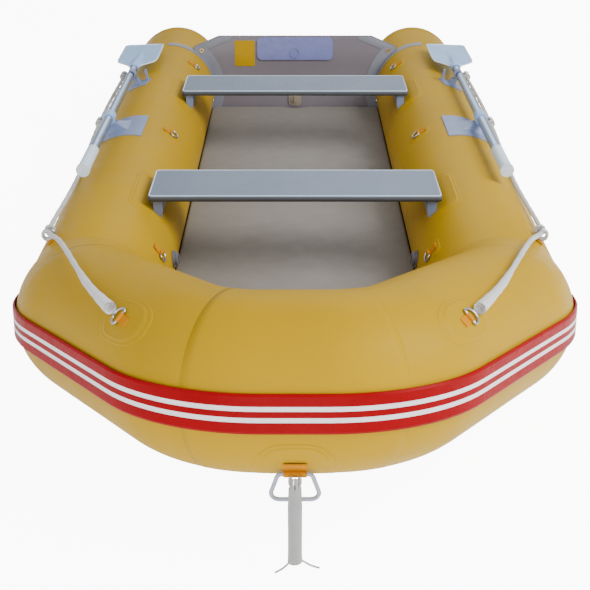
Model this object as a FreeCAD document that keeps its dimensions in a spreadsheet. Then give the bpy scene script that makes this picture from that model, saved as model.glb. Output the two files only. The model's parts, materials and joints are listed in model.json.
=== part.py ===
import FreeCAD, Part
import math
import os
import Sketcher
from FreeCAD import Placement, Rotation, Vector

# Inflatable sport dinghy with an air deck, a transom, two benches and two oars.
# Frame: +Z up, bow towards -Y, port towards +X, origin on the floor below the middle of the boat.

doc = FreeCAD.newDocument("inflatable_dinghy")

# ---------------------------------------------------------------- driving dimensions (mm, degrees)
DIMENSIONS = [
    ("tube_radius", 200, "outer radius of the buoyancy tubes"),
    ("skin", 1.1, "tube fabric thickness"),
    ("axis_spread", 577, "half the distance between the two side tube axes"),
    ("cone_start", 1449, "aft end of the full-width side tubes"),
    ("tail_end", 1693, "aft end of the stern cones"),
    ("kink_line", -846, "line across the boat where the bow begins to rise"),
    ("bow_rake", 15.5, "angle by which the bow rises"),
    ("rise_radius", 250, "bend radius of the tube axis where the bow rises"),
    ("corner_reach", 126, "from the kink line to the side corner, along the raked bow"),
    ("corner_radius", 274, "bend radius of the tube axis at the side corner"),
    ("bow_flat", 180, "half the straight run across the bow, to its corners"),
    ("bow_reach", 661.5, "from the kink line to the bow tube axis, along the raked bow"),
    ("bow_radius", 222, "bend radius of the tube axis at the bow corners"),
    ("cone_bend", 250, "radius that leads into the stern cone"),
    ("cone_slope", 24, "half angle of the stern cone"),
    ("strake_height", 86, "height of the rub strake around the hull"),
    ("strake_depth", 7, "how far the rub strake stands off the tube"),
    ("stripe_height", 11, "height of each stripe of the rub strake"),
    ("stripe_offset", 12, "stripe centre from the strake's middle"),
    ("stripe_depth", 2.5, "depth of the stripe's groove"),
    ("deck_top", 120, "top of the air deck"),
    ("deck_thickness", 66, "air deck thickness"),
    ("deck_half_width", 388, "half width of the air deck"),
    ("deck_edge_radius", 20, "rounding of the air deck's edges"),
    ("bottom_level", 5, "underside of the bottom fabric"),
    ("bottom_thickness", 1.2, "bottom fabric thickness"),
    ("keel_width", 150, "keel tube width, pressed flat under the deck"),
    ("keel_thickness", 44, "keel tube thickness"),
    ("transom_line", 1168, "transom middle plane at the tube axis height"),
    ("transom_rake", 10, "transom rake"),
    ("transom_thickness", 28, "transom board thickness"),
    ("transom_top", 234, "transom top edge above the tube axis"),
    ("transom_top_half", 355, "half width of the transom's top edge"),
    ("bench_length", 904, "bench length across the boat"),
    ("bench_depth", 210, "bench size along the boat"),
    ("bench_thickness", 18, "bench thickness"),
    ("bench_top", 400, "top of the benches"),
    ("front_bench_middle", -436, "middle of the front bench"),
    ("rear_bench_middle", 587, "middle of the rear bench"),
    ("holder_length", 190, "seat holder length along the tube"),
    ("shaft_radius", 16.5, "oar outer shaft radius"),
    ("shaft_wall", 1.5, "wall of both oar shafts"),
    ("oar_height", 50, "oar shaft centre above the tube skin"),
    ("oar_angle", 68, "place of the oar round the tube, up from outboard"),
    ("blade_feather", 20, "turn of the stowed oar blade about its shaft"),
    ("oarlock_line", 85, "oarlock pin along the boat"),
    ("pin_radius", 6, "oarlock pin radius"),
    ("pin_clearance", 0.08, "radial clearance of running pins"),
    ("clip_line", 600, "stowing clip along the boat"),
    ("ring_wire", 3, "D-ring wire radius"),
    ("ring_lift", 7, "D-ring bar centre above the tube skin"),
    ("grab_rope_radius", 7, "grab line radius"),
    ("bow_rope_radius", 2.5, "bow line radius"),
]

sheet = doc.addObject("Spreadsheet::Sheet", "Dimensions")
for row, (alias, value, note) in enumerate(DIMENSIONS, 1):
    sheet.set("A%d" % row, alias)
    sheet.set("B%d" % row, str(value))
    sheet.setAlias("B%d" % row, alias)
    sheet.set("C%d" % row, note)
doc.recompute()


def dim(alias):
    """A driving dimension's value."""
    return float(sheet.get(alias))


def cell(alias):
    """A driving dimension's name in an expression."""
    return "Dimensions." + alias


NODES = []
XY, XZ, YZ = "XY_Plane", "XZ_Plane", "YZ_Plane"
SIDES = (("port", 1), ("starboard", -1))


# ---------------------------------------------------------------- document helpers
def keep(part, label):
    """Marks a document object as a sub-part, written under its label."""
    part.Label = label
    NODES.append(part)
    return part


def new_body(name, placement=Placement()):
    body = doc.addObject("PartDesign::Body", name)
    body.Placement = placement
    return body


def new_sketch(body, role, name, lift=0.0, lift_cell=None):
    """A sketch on one of the body's own planes, lifted along that plane's normal."""
    sketch = body.newObject("Sketcher::SketchObject", name)
    origin_plane = [f for f in body.Origin.OriginFeatures if f.Role == role][0]
    sketch.AttachmentSupport = [(origin_plane, "")]
    sketch.MapMode = "FlatFace"
    sketch.AttachmentOffset = Placement(Vector(0, 0, lift), Rotation())
    if lift_cell:
        sketch.setExpression(".AttachmentOffset.Base.z", lift_cell)
    return sketch


def add_circle(sketch, x, y, radius, radius_cell=None):
    index = sketch.addGeometry(Part.Circle(Vector(x, y, 0), Vector(0, 0, 1), radius), False)
    if radius_cell:
        number = sketch.addConstraint(Sketcher.Constraint("Radius", index, radius))
        sketch.setExpression("Constraints[%d]" % number, radius_cell)
    else:
        sketch.addConstraint(Sketcher.Constraint("Block", index))


def add_outline(sketch, points):
    """A closed outline of straight runs."""
    corners = [Vector(x, y, 0) for x, y in points]
    runs = zip(corners, corners[1:] + corners[:1])
    sketch.addGeometry([Part.LineSegment(a, b) for a, b in runs], False)


def add_rectangle(sketch, width, height, x=0.0, y=0.0, width_cell=None, height_cell=None):
    """A rectangle about (x, y) whose sides follow the named cells."""
    half_w, half_h = width / 2, height / 2
    add_outline(sketch, [(x - half_w, y - half_h), (x + half_w, y - half_h),
                         (x + half_w, y + half_h), (x - half_w, y + half_h)])
    for edge in range(4):
        sketch.addConstraint(Sketcher.Constraint("Coincident", edge, 2, (edge + 1) % 4, 1))
    for edge, kind in enumerate(("Horizontal", "Vertical", "Horizontal", "Vertical")):
        sketch.addConstraint(Sketcher.Constraint(kind, edge))
    sketch.addConstraint(Sketcher.Constraint("DistanceX", -1, 1, 0, 1, x - half_w))
    sketch.addConstraint(Sketcher.Constraint("DistanceY", -1, 1, 0, 1, y - half_h))
    across = sketch.ConstraintCount
    sketch.addConstraint(Sketcher.Constraint("DistanceX", 0, 1, 0, 2, width))
    sketch.addConstraint(Sketcher.Constraint("DistanceY", 1, 1, 1, 2, height))
    if width_cell:
        sketch.setExpression("Constraints[%d]" % (across - 2), "%.6f - %s / 2" % (x, width_cell))
        sketch.setExpression("Constraints[%d]" % across, width_cell)
    if height_cell:
        sketch.setExpression("Constraints[%d]" % (across - 1), "%.6f - %s / 2" % (y, height_cell))
        sketch.setExpression("Constraints[%d]" % (across + 1), height_cell)


def add_rounded_rectangle(sketch, width, height, radius, x=0.0, y=0.0):
    """A rectangle about (x, y) with round corners."""
    w, t = width / 2 - radius, height / 2 - radius
    for quarter, (sx, sy) in enumerate(((1, 1), (-1, 1), (-1, -1), (1, -1))):
        centre = Vector(x + sx * w, y + sy * t, 0)
        start = math.radians(90 * quarter)
        circle = Part.Circle(centre, Vector(0, 0, 1), radius)
        sketch.addGeometry(Part.ArcOfCircle(circle, start, start + math.pi / 2), False)
    top, left = y + t + radius, x - w - radius
    bottom, right = y - t - radius, x + w + radius
    sides = [((x + w, top), (x - w, top)), ((left, y + t), (left, y - t)),
             ((x - w, bottom), (x + w, bottom)), ((right, y - t), (right, y + t))]
    sketch.addGeometry([Part.LineSegment(Vector(*a), Vector(*b)) for a, b in sides], False)


def add_pad(body, sketch, length, name="pad", length_cell=None, midplane=False, reverse=False):
    pad = body.newObject("PartDesign::Pad", name)
    pad.Profile = sketch
    pad.Length = length
    pad.Midplane = midplane
    pad.Reversed = reverse
    if length_cell:
        pad.setExpression("Length", length_cell)
    return pad


def add_pocket(body, sketch, length, name="pocket", midplane=False, reverse=False):
    pocket = body.newObject("PartDesign::Pocket", name)
    pocket.Profile = sketch
    pocket.Length = length
    pocket.Midplane = midplane
    pocket.Reversed = reverse
    return pocket


def add_pipe(body, profile, spine, name="pipe"):
    pipe = body.newObject("PartDesign::AdditivePipe", name)
    pipe.Profile = profile
    pipe.Spine = (spine, ["Edge%d" % (i + 1) for i in range(spine.GeometryCount)])
    return pipe


def round_edges(body, base, radius, name, pick, radius_cell=None):
    """Rounds those edges of a feature that the pick function chooses."""
    doc.recompute()
    names = ["Edge%d" % (i + 1) for i, edge in enumerate(base.Shape.Edges) if pick(edge)]
    fillet = body.newObject("PartDesign::Fillet", name)
    fillet.Base = (base, names)
    fillet.Radius = radius
    if radius_cell:
        fillet.setExpression("Radius", radius_cell)
    return fillet


def cylinder_object(name, radius, length, placement, radius_cell=None):
    cylinder = doc.addObject("Part::Cylinder", name)
    cylinder.Radius = radius
    cylinder.Height = length
    cylinder.Placement = placement
    if radius_cell:
        cylinder.setExpression("Radius", radius_cell)
    return cylinder


def boolean(kind, name, base, tool):
    result = doc.addObject("Part::" + kind, name)
    result.Base = base
    result.Tool = tool
    return result


def mirrored(source, label):
    """The starboard copy of a port sub-part."""
    mirror = doc.addObject("Part::Mirroring", label)
    mirror.Source = source
    mirror.Base = Vector(0, 0, 0)
    mirror.Normal = Vector(1, 0, 0)
    return keep(mirror, label)


def group(label, members):
    """Identical pieces that share one node."""
    compound = doc.addObject("Part::Compound", label)
    compound.Links = members
    return keep(compound, label)


def shaped(label, shape, placement=Placement()):
    """A piece whose form follows a tube or a rope, made from Part's own functions."""
    feature = doc.addObject("Part::Feature", label)
    feature.Shape = shape
    feature.Placement = placement
    return feature


# ---------------------------------------------------------------- tube axis and frames on the tubes
RADIUS = dim("tube_radius")
SPREAD = dim("axis_spread")
RAKE = math.radians(dim("bow_rake"))
RISE_TANGENT = dim("rise_radius") * math.tan(RAKE / 2)
RAKED = Placement(Vector(0, dim("kink_line"), RADIUS), Rotation(Vector(1, 0, 0), -dim("bow_rake")))
SIDE_FORWARD_END = dim("kink_line") + RISE_TANGENT
ACROSS = Vector(1, 0, 0)


def bend(before, corner, after, radius):
    """Start, middle, end and centre of the arc that rounds a corner."""
    back = (before - corner).normalize()
    on = (after - corner).normalize()
    turn = math.pi - math.acos(max(-1.0, min(1.0, back.dot(on))))
    tangent = radius * math.tan(turn / 2)
    centre = corner + (back + on).normalize() * (radius / math.cos(turn / 2))
    middle = centre + (corner - centre).normalize() * radius
    return corner + back * tangent, middle, corner + on * tangent, centre


# port half of the bow tube's axis, in the raked plane: x across, y aft
AXIS_START = Vector(SPREAD, -RISE_TANGENT, 0)
SIDE_CORNER = Vector(SPREAD, -dim("corner_reach"), 0)
BOW_CORNER = Vector(dim("bow_flat"), -dim("bow_reach"), 0)
BOW_MIDDLE = Vector(0, -dim("bow_reach"), 0)
SIDE_BEND = bend(AXIS_START, SIDE_CORNER, BOW_CORNER, dim("corner_radius"))
BOW_BEND = bend(SIDE_CORNER, BOW_CORNER, BOW_MIDDLE, dim("bow_radius"))
PANEL_DIRECTION = (BOW_CORNER - SIDE_CORNER).normalize()
PANEL_OUTWARD = Vector(-PANEL_DIRECTION.y, PANEL_DIRECTION.x, 0)


def half_arc(start, end, centre):
    radius = (start - centre).Length
    middle = centre + ((start + end) * 0.5 - centre).normalize() * radius
    return Part.Arc(start, middle, end)


def axes_placement(origin, x_axis, y_axis, z_axis):
    matrix = FreeCAD.Matrix(x_axis.x, y_axis.x, z_axis.x, origin.x,
                            x_axis.y, y_axis.y, z_axis.y, origin.y,
                            x_axis.z, y_axis.z, z_axis.z, origin.z,
                            0, 0, 0, 1)
    return Placement(matrix)


def on_tube(axis_point, outward, up, angle, height=0.0, turn=0.0):
    """Frame on a tube's skin: z stands off the skin, y runs along the tube, turned about z."""
    a = math.radians(angle)
    normal = outward * math.cos(a) + up * math.sin(a)
    along = up.cross(outward)
    if along.y < 0:
        along = along * -1
    frame = axes_placement(axis_point + normal * (RADIUS + height), along.cross(normal), along, normal)
    return frame.multiply(Placement(Vector(), Rotation(Vector(0, 0, 1), turn)))


def on_side(side, y, angle, height=0.0, turn=0.0):
    axis_point = Vector(side * SPREAD, y, RADIUS)
    return on_tube(axis_point, Vector(side, 0, 0), Vector(0, 0, 1), angle, height, turn)


def on_panel(side, distance, angle, height=0.0, turn=0.0):
    """A place on the angled bow tube, by its distance from the side corner."""
    local = SIDE_CORNER + PANEL_DIRECTION * distance
    outward = RAKED.Rotation.multVec(Vector(side * PANEL_OUTWARD.x, PANEL_OUTWARD.y, 0))
    up = RAKED.Rotation.multVec(Vector(0, 0, 1))
    axis_point = RAKED.multVec(Vector(side * local.x, local.y, 0))
    return on_tube(axis_point, outward, up, angle, height, turn)


def on_bow(x, angle, height=0.0):
    """A place on the straight bow tube: local y runs up the tube's section, local x across."""
    a = math.radians(angle)
    outward = RAKED.Rotation.multVec(Vector(0, -1, 0))
    up = RAKED.Rotation.multVec(Vector(0, 0, 1))
    normal = outward * math.cos(a) + up * math.sin(a)
    climb = up * math.cos(a) - outward * math.sin(a)
    axis_point = RAKED.multVec(Vector(x, BOW_MIDDLE.y, 0))
    return axes_placement(axis_point + normal * (RADIUS + height), climb.cross(normal), climb, normal)


# ---------------------------------------------------------------- hull skins
def hull_side():
    """Straight side tube with the bend that starts the bow's rise."""
    body = new_body("hull_side_port", Placement(Vector(SPREAD, 0, RADIUS), Rotation()))
    body.setExpression(".Placement.Base.x", cell("axis_spread"))
    body.setExpression(".Placement.Base.z", cell("tube_radius"))
    ring = new_sketch(body, XZ, "section", -dim("cone_start"), "-" + cell("cone_start"))
    add_circle(ring, 0, 0, RADIUS, cell("tube_radius"))
    add_circle(ring, 0, 0, RADIUS - dim("skin"), cell("tube_radius") + " - " + cell("skin"))
    axis = new_sketch(body, YZ, "axis")
    start = Vector(dim("cone_start"), 0, 0)
    rise_start = Vector(SIDE_FORWARD_END, 0, 0)
    centre = Vector(SIDE_FORWARD_END, dim("rise_radius"), 0)
    lean = Vector(-math.sin(RAKE), -math.cos(RAKE), 0) * dim("rise_radius")
    axis.addGeometry([Part.LineSegment(start, rise_start),
                      half_arc(rise_start, centre + lean, centre)], False)
    add_pipe(body, ring, axis)
    return keep(body, "hull_side_port")


def hull_bow_panel():
    """Angled bow tube between the side tube and the middle of the bow."""
    body = new_body("hull_bow_port", RAKED)
    ring = new_sketch(body, XZ, "section", RISE_TANGENT)
    add_circle(ring, SPREAD, 0, RADIUS, cell("tube_radius"))
    add_circle(ring, SPREAD, 0, RADIUS - dim("skin"), cell("tube_radius") + " - " + cell("skin"))
    axis = new_sketch(body, XY, "axis")
    axis.addGeometry([Part.LineSegment(AXIS_START, SIDE_BEND[0]),
                      Part.Arc(SIDE_BEND[0], SIDE_BEND[1], SIDE_BEND[2]),
                      Part.LineSegment(SIDE_BEND[2], BOW_BEND[0]),
                      half_arc(BOW_BEND[0], BOW_BEND[1], BOW_BEND[3])], False)
    add_pipe(body, ring, axis)
    return keep(body, "hull_bow_port")


def hull_bow_centre():
    """Middle of the bow, up to half of each bow corner."""
    body = new_body("hull_bow_centre", RAKED)
    ring = new_sketch(body, YZ, "section")
    tangent = math.degrees(math.atan2(PANEL_OUTWARD.y, PANEL_OUTWARD.x)) / 2 + 45
    start = BOW_BEND[1]
    face_outward = Rotation(Vector(0, 1, 0), -tangent).multiply(Rotation(Vector(0, 0, 1), 180))
    ring.AttachmentOffset = Placement(Vector(start.y, 0, -start.x), face_outward)
    add_circle(ring, 0, 0, RADIUS, cell("tube_radius"))
    add_circle(ring, 0, 0, RADIUS - dim("skin"), cell("tube_radius") + " - " + cell("skin"))
    axis = new_sketch(body, XY, "axis")
    port = BOW_BEND[2], BOW_BEND[1], BOW_BEND[3]
    starboard = [Vector(-p.x, p.y, 0) for p in port]
    axis.addGeometry([half_arc(starboard[1], starboard[0], starboard[2]),
                      Part.LineSegment(starboard[0], port[0]),
                      half_arc(port[0], port[1], port[2])], False)
    add_pipe(body, ring, axis)
    return keep(body, "hull_bow_centre")


def hull_cone():
    """Stern cone: a short bend into a straight cone with a flat end disc, one skin thick."""
    skin = dim("skin")
    slope = math.radians(dim("cone_slope"))
    length = dim("tail_end") - dim("cone_start")
    body = new_body("hull_cone_port", Placement(Vector(SPREAD, dim("cone_start"), RADIUS), Rotation()))
    body.setExpression(".Placement.Base.x", cell("axis_spread"))
    body.setExpression(".Placement.Base.y", cell("cone_start"))
    sketch = new_sketch(body, XY, "profile")
    bend_radius = dim("cone_bend")
    centre_x = RADIUS - bend_radius

    def wall(radius):
        lead = Vector(centre_x + radius * math.cos(slope), radius * math.sin(slope), 0)
        end_y = length if radius == bend_radius else length - skin
        end = Vector(lead.x - (end_y - lead.y) * math.tan(slope), end_y, 0)
        start = Vector(centre_x + radius, 0, 0)
        return start, lead, end

    outer_start, outer_lead, outer_end = wall(bend_radius)
    inner_start, inner_lead, inner_end = wall(bend_radius - skin)
    centre = Vector(centre_x, 0, 0)
    sketch.addGeometry([half_arc(outer_start, outer_lead, centre),
                        Part.LineSegment(outer_lead, outer_end),
                        Part.LineSegment(outer_end, Vector(0, length, 0)),
                        Part.LineSegment(Vector(0, length, 0), Vector(0, length - skin, 0)),
                        Part.LineSegment(Vector(0, length - skin, 0), inner_end),
                        Part.LineSegment(inner_end, inner_lead),
                        half_arc(inner_lead, inner_start, centre),
                        Part.LineSegment(inner_start, outer_start)], False)
    turn = body.newObject("PartDesign::Revolution", "turn")
    turn.Profile = sketch
    turn.ReferenceAxis = (sketch, ["V_Axis"])
    turn.Angle = 360
    return keep(body, "hull_cone_port")


# ---------------------------------------------------------------- strake
def strake_face(inner, outer, low, high):
    """A rectangle of the strake's section: x stands off the tube axis, y is up."""
    return [Vector(inner, low, 0), Vector(outer, low, 0), Vector(outer, high, 0), Vector(inner, high, 0)]


def along_hull(points):
    """Carries a section outline round the whole hull, along the port half, and mirrors it."""
    runs = []

    def section(frame_origin, outward, up):
        corners = [frame_origin + outward * p.x + up * p.y for p in points]
        return Part.Face(Part.makePolygon(corners + corners[:1]))

    up = Vector(0, 0, 1)
    aft_end = Vector(SPREAD, dim("cone_start"), RADIUS)
    face = section(aft_end, ACROSS, up)
    runs.append(face.extrude(Vector(0, SIDE_FORWARD_END - dim("cone_start"), 0)))
    rise_start = Vector(SPREAD, SIDE_FORWARD_END, RADIUS)
    centre = rise_start + up * dim("rise_radius")
    runs.append(section(rise_start, ACROSS, up).revolve(centre, ACROSS, -dim("bow_rake")))
    raked_up = RAKED.Rotation.multVec(up)

    def raked(vector):
        return RAKED.multVec(vector)

    short = section(raked(AXIS_START), ACROSS, raked_up)
    runs.append(short.extrude(raked(SIDE_BEND[0]) - raked(AXIS_START)))
    corner = section(raked(SIDE_BEND[0]), ACROSS, raked_up)
    side_turn = math.degrees(math.atan2(PANEL_OUTWARD.y, PANEL_OUTWARD.x))
    runs.append(corner.revolve(raked(SIDE_BEND[3]), raked_up, side_turn))
    outward = RAKED.Rotation.multVec(PANEL_OUTWARD)
    panel = section(raked(SIDE_BEND[2]), outward, raked_up)
    runs.append(panel.extrude(raked(BOW_BEND[0]) - raked(SIDE_BEND[2])))
    turned = section(raked(BOW_BEND[0]), outward, raked_up)
    runs.append(turned.revolve(raked(BOW_BEND[3]), raked_up, -90 - side_turn))
    middle = section(raked(BOW_BEND[2]), RAKED.Rotation.multVec(Vector(0, -1, 0)), raked_up)
    runs.append(middle.extrude(raked(BOW_MIDDLE) - raked(BOW_BEND[2])))
    port = runs[0].multiFuse(runs[1:])
    return port.fuse(port.mirror(Vector(), ACROSS)).removeSplitter()


def rub_strake():
    """Red strake with two grooves, and the white stripes that lie in them."""
    gap = 0.1
    inner = RADIUS + gap
    outer = RADIUS + dim("strake_depth")
    floor_of_groove = outer - dim("stripe_depth")
    half = dim("strake_height") / 2
    stripe, offset = dim("stripe_height") / 2, dim("stripe_offset")
    outline = [(inner, -half), (outer - 3, -half), (outer, -half + 5)]
    for middle in (-offset, offset):
        outline += [(outer, middle - stripe), (floor_of_groove, middle - stripe),
                    (floor_of_groove, middle + stripe), (outer, middle + stripe)]
    outline += [(outer, half - 5), (outer - 3, half), (inner, half)]
    strake = shaped("rub_strake", along_hull([Vector(x, y, 0) for x, y in outline]))
    keep(strake, "rub_strake")
    stripes = []
    for middle in (-offset, offset):
        low, high = middle - stripe + 0.1, middle + stripe - 0.1
        edge = strake_face(floor_of_groove + 0.02, outer - 0.6, low, high)
        stripes.append(along_hull(edge))
    keep(shaped("strake_stripes", Part.makeCompound(stripes)), "strake_stripes")


# ---------------------------------------------------------------- floor
def bottom_skin():
    """Bottom fabric: flat between the side tubes, rising with the raked bow."""
    edge = 57.0
    half = SPREAD - edge
    level, thickness = dim("bottom_level"), dim("bottom_thickness")
    fold = (RADIUS - level) * math.tan(RAKE / 2)
    fold_line = dim("kink_line") - fold
    aft_line = dim("transom_line") + 10
    flat = new_body("bottom_flat", Placement(Vector(0, 0, level), Rotation()))
    sketch = new_sketch(flat, XY, "plan")
    add_outline(sketch, [(-half, aft_line), (half, aft_line), (half, fold_line), (-half, fold_line)])
    add_pad(flat, sketch, thickness, "sheet", cell("bottom_thickness"))
    raked = new_body("bottom_raked", RAKED)
    plan = new_sketch(raked, XY, "plan", level - RADIUS)
    inset = PANEL_OUTWARD * (edge - 7)
    corners = [SIDE_BEND[0] - Vector(edge, 0, 0), SIDE_BEND[2] - inset, BOW_BEND[0] - inset,
               BOW_BEND[2] + Vector(-6, edge - 7, 0)]
    port = [(half, fold)] + [(p.x, p.y) for p in corners]
    add_outline(plan, port + [(-x, y) for x, y in reversed(port)])
    add_pad(raked, plan, thickness, "sheet", cell("bottom_thickness"))
    joined = doc.addObject("Part::Fuse", "bottom_skin")
    joined.Base = flat
    joined.Tool = raked
    return keep(joined, "bottom_skin")


def air_deck():
    """Drop-stitch deck with a blunt nose under the bow tube."""
    half = dim("deck_half_width")
    aft = dim("transom_line") - 45
    straight_end, nose = dim("kink_line") - 4, dim("kink_line") - 139
    body = new_body("air_deck")
    sketch = new_sketch(body, XY, "plan", dim("deck_top"), cell("deck_top"))
    shoulder = Vector(half, straight_end, 0)
    nose_port = Vector(half - 190, nose, 0)
    middle = Vector(half - 52, straight_end - 88, 0)
    notch, notch_depth = 75, 24
    sketch.addGeometry([
        Part.LineSegment(Vector(-half, aft, 0), Vector(-notch, aft, 0)),
        Part.Arc(Vector(-notch, aft, 0), Vector(0, aft - notch_depth, 0), Vector(notch, aft, 0)),
        Part.LineSegment(Vector(notch, aft, 0), Vector(half, aft, 0)),
        Part.LineSegment(Vector(half, aft, 0), shoulder),
        Part.Arc(shoulder, middle, nose_port),
        Part.LineSegment(nose_port, Vector(-nose_port.x, nose, 0)),
        Part.Arc(Vector(-nose_port.x, nose, 0), Vector(-middle.x, middle.y, 0),
                 Vector(-half, straight_end, 0)),
        Part.LineSegment(Vector(-half, straight_end, 0), Vector(-half, aft, 0))], False)
    pad = add_pad(body, sketch, dim("deck_thickness"), "cushion", cell("deck_thickness"), reverse=True)

    def on_top_or_bottom(edge):
        low, high = edge.BoundBox.ZMin, edge.BoundBox.ZMax
        return high - low < 0.01

    rounding = "deck_edge_radius"
    round_edges(body, pad, dim(rounding), "soft_edges", on_top_or_bottom, cell(rounding))
    return keep(body, "air_deck")


def keel_tube():
    """Inflatable keel, pressed flat between the bottom and the deck."""
    width, thickness = dim("keel_width"), dim("keel_thickness")
    body = new_body("keel_tube")
    sketch = new_sketch(body, XZ, "section", -(dim("transom_line") - 60))
    lift = dim("bottom_level") + dim("bottom_thickness") + 0.6 + thickness / 2
    add_rounded_rectangle(sketch, width, thickness, thickness / 2 - 0.5, 0, lift)
    add_pad(body, sketch, dim("transom_line") - 60 - dim("kink_line") - 40)
    return keep(body, "keel_tube")


# ---------------------------------------------------------------- transom
TRANSOM = Placement(Vector(0, dim("transom_line"), RADIUS), Rotation(Vector(1, 0, 0), -dim("transom_rake")))


def transom_board():
    """Plywood board between the tubes, its ends cut round to fit them."""
    clear = 206.5
    top, top_half = dim("transom_top"), dim("transom_top_half")
    bottom = -180.0
    shoulder = SPREAD - 109
    seat = math.sqrt(clear ** 2 - 109 ** 2)
    foot = SPREAD - math.sqrt(clear ** 2 - bottom ** 2)
    body = new_body("transom_board", TRANSOM)
    sketch = new_sketch(body, XZ, "outline")
    port = [Vector(0, bottom, 0), Vector(foot, bottom, 0), Vector(SPREAD - clear, 0, 0),
            Vector(shoulder, seat, 0), Vector(shoulder, 187, 0), Vector(top_half, top, 0),
            Vector(0, top, 0)]
    edges = []
    for side in (1, -1):
        p = [Vector(side * v.x, v.y, 0) for v in port]
        edges += [Part.LineSegment(p[0], p[1]), Part.Arc(p[1], p[2], p[3]), Part.LineSegment(p[3], p[4]),
                  Part.LineSegment(p[4], p[5]), Part.LineSegment(p[5], p[6])]
    sketch.addGeometry(edges, False)
    pad = add_pad(body, sketch, dim("transom_thickness"), "board", cell("transom_thickness"), midplane=True)
    holes = new_sketch(body, XZ, "holes")
    add_circle(holes, 0, DRAIN_HEIGHT, DRAIN_SLEEVE + 0.4)
    for side in (1, -1):
        add_circle(holes, side * EYELET_X, EYELET_HEIGHT, 8.0)
    add_pocket(body, holes, dim("transom_thickness") + 20, "drain_and_eyelets", midplane=True)
    return keep(body, "transom_board")


DRAIN_HEIGHT = -52.0
DRAIN_SLEEVE = 14.0
EYELET_X, EYELET_HEIGHT = 433.0, 168.0
FLANGE_GAP, FLANGE_THICKNESS = 0.3, 3.0


def motor_plates():
    """Pads that the outboard motor's clamps bear on, one each side of the transom."""
    half = dim("transom_thickness") / 2
    inner = new_body("motor_plate_inner", TRANSOM)
    sketch = new_sketch(inner, XZ, "outline", half + 0.2)
    middle = dim("transom_top") - 6 - 51
    add_rounded_rectangle(sketch, 350, 102, 22, 0, middle)
    add_pad(inner, sketch, 7, "plate")
    ring = new_sketch(inner, XZ, "clamp_seat", half + 7)
    add_circle(ring, 0, middle - 20, 24)
    add_circle(ring, 0, middle - 20, 18)
    add_pad(inner, ring, 3.5, "ring")
    keep(inner, "motor_plate_inner")
    outer = new_body("motor_plate_outer", TRANSOM)
    sketch = new_sketch(outer, XZ, "outline", -half - 0.2)
    add_rounded_rectangle(sketch, 350, 170, 22, 0, dim("transom_top") - 6 - 85)
    add_pad(outer, sketch, 6, "plate", reverse=True)
    keep(outer, "motor_plate_outer")


def transom_holder():
    """Rubber angle that bonds the board's round end to the tube: one flange on each."""
    flange, thickness, gap = 38.0, FLANGE_THICKNESS, FLANGE_GAP
    half = dim("transom_thickness") / 2

    def slab(name, depth, start, length, height):
        box = doc.addObject("Part::Box", name)
        box.Length, box.Width, box.Height = length, depth, height
        corner = Vector(SPREAD - 250, -half - start - depth, -160)
        box.Placement = TRANSOM.multiply(Placement(corner, Rotation()))
        return box

    def cylinder(name, extra):
        tube = doc.addObject("Part::Cylinder", name)
        tube.setExpression("Radius", cell("tube_radius") + " + %.2f" % extra)
        tube.Height = 400
        end = Vector(SPREAD, dim("transom_line") + 200, RADIUS)
        tube.Placement = Placement(end, Rotation(Vector(1, 0, 0), 90))
        return tube

    def sleeve(name, outer, inner):
        return boolean("Cut", name, cylinder(name + "_outer", outer), cylinder(name + "_inner", inner))

    tube_slab = slab("tube_slab", flange, gap, 257, 420)
    on_the_tube = boolean("Common", "tube_flange", tube_slab, sleeve("thin", gap + thickness, gap))
    board_slab = slab("board_slab", thickness, gap, 139, 346)
    on_the_board = boolean("Common", "board_flange", board_slab, sleeve("wide", 46, gap))
    angle = boolean("Fuse", "holder_angle", on_the_tube, on_the_board)
    through = Placement(Vector(EYELET_X, 0, EYELET_HEIGHT), Rotation(Vector(1, 0, 0), 90))
    hole_place = TRANSOM.multiply(through)
    hole = cylinder_object("eyelet_hole", 8.0, 60, hole_place)
    return keep(boolean("Cut", "transom_holder_port", angle, hole), "transom_holder_port")


def drain():
    """Drain fitting through the transom and the plug that closes it from inside."""
    half = dim("transom_thickness") / 2
    sleeve = new_body("drain_fitting", TRANSOM)
    sketch = new_sketch(sleeve, XZ, "flange", half + 0.2)
    add_rounded_rectangle(sketch, 60, 66, 20, 0, DRAIN_HEIGHT)
    add_circle(sketch, 0, DRAIN_HEIGHT, 10.1)
    add_pad(sleeve, sketch, 5, "flange_plate")
    tube = new_sketch(sleeve, XZ, "sleeve", half + 0.2)
    add_circle(tube, 0, DRAIN_HEIGHT, DRAIN_SLEEVE)
    add_circle(tube, 0, DRAIN_HEIGHT, 10.1)
    add_pad(sleeve, tube, 2 * half + 6, "through", reverse=True)
    keep(sleeve, "drain_fitting")
    plug = new_body("drain_plug", TRANSOM)
    core = new_sketch(plug, XZ, "core", half + 5.5)
    add_circle(core, 0, DRAIN_HEIGHT, 10.0)
    add_pad(plug, core, 24, "stopper", reverse=True)
    head = new_sketch(plug, XZ, "head", half + 5.5)
    add_circle(head, 0, DRAIN_HEIGHT, 19)
    add_pad(plug, head, 6, "cap")
    grip = new_sketch(plug, XZ, "grip", half + 5.5)
    add_rounded_rectangle(grip, 8, 30, 3.5, 0, DRAIN_HEIGHT)
    add_pad(plug, grip, 15, "finger_bar")
    keep(plug, "drain_plug")


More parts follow.
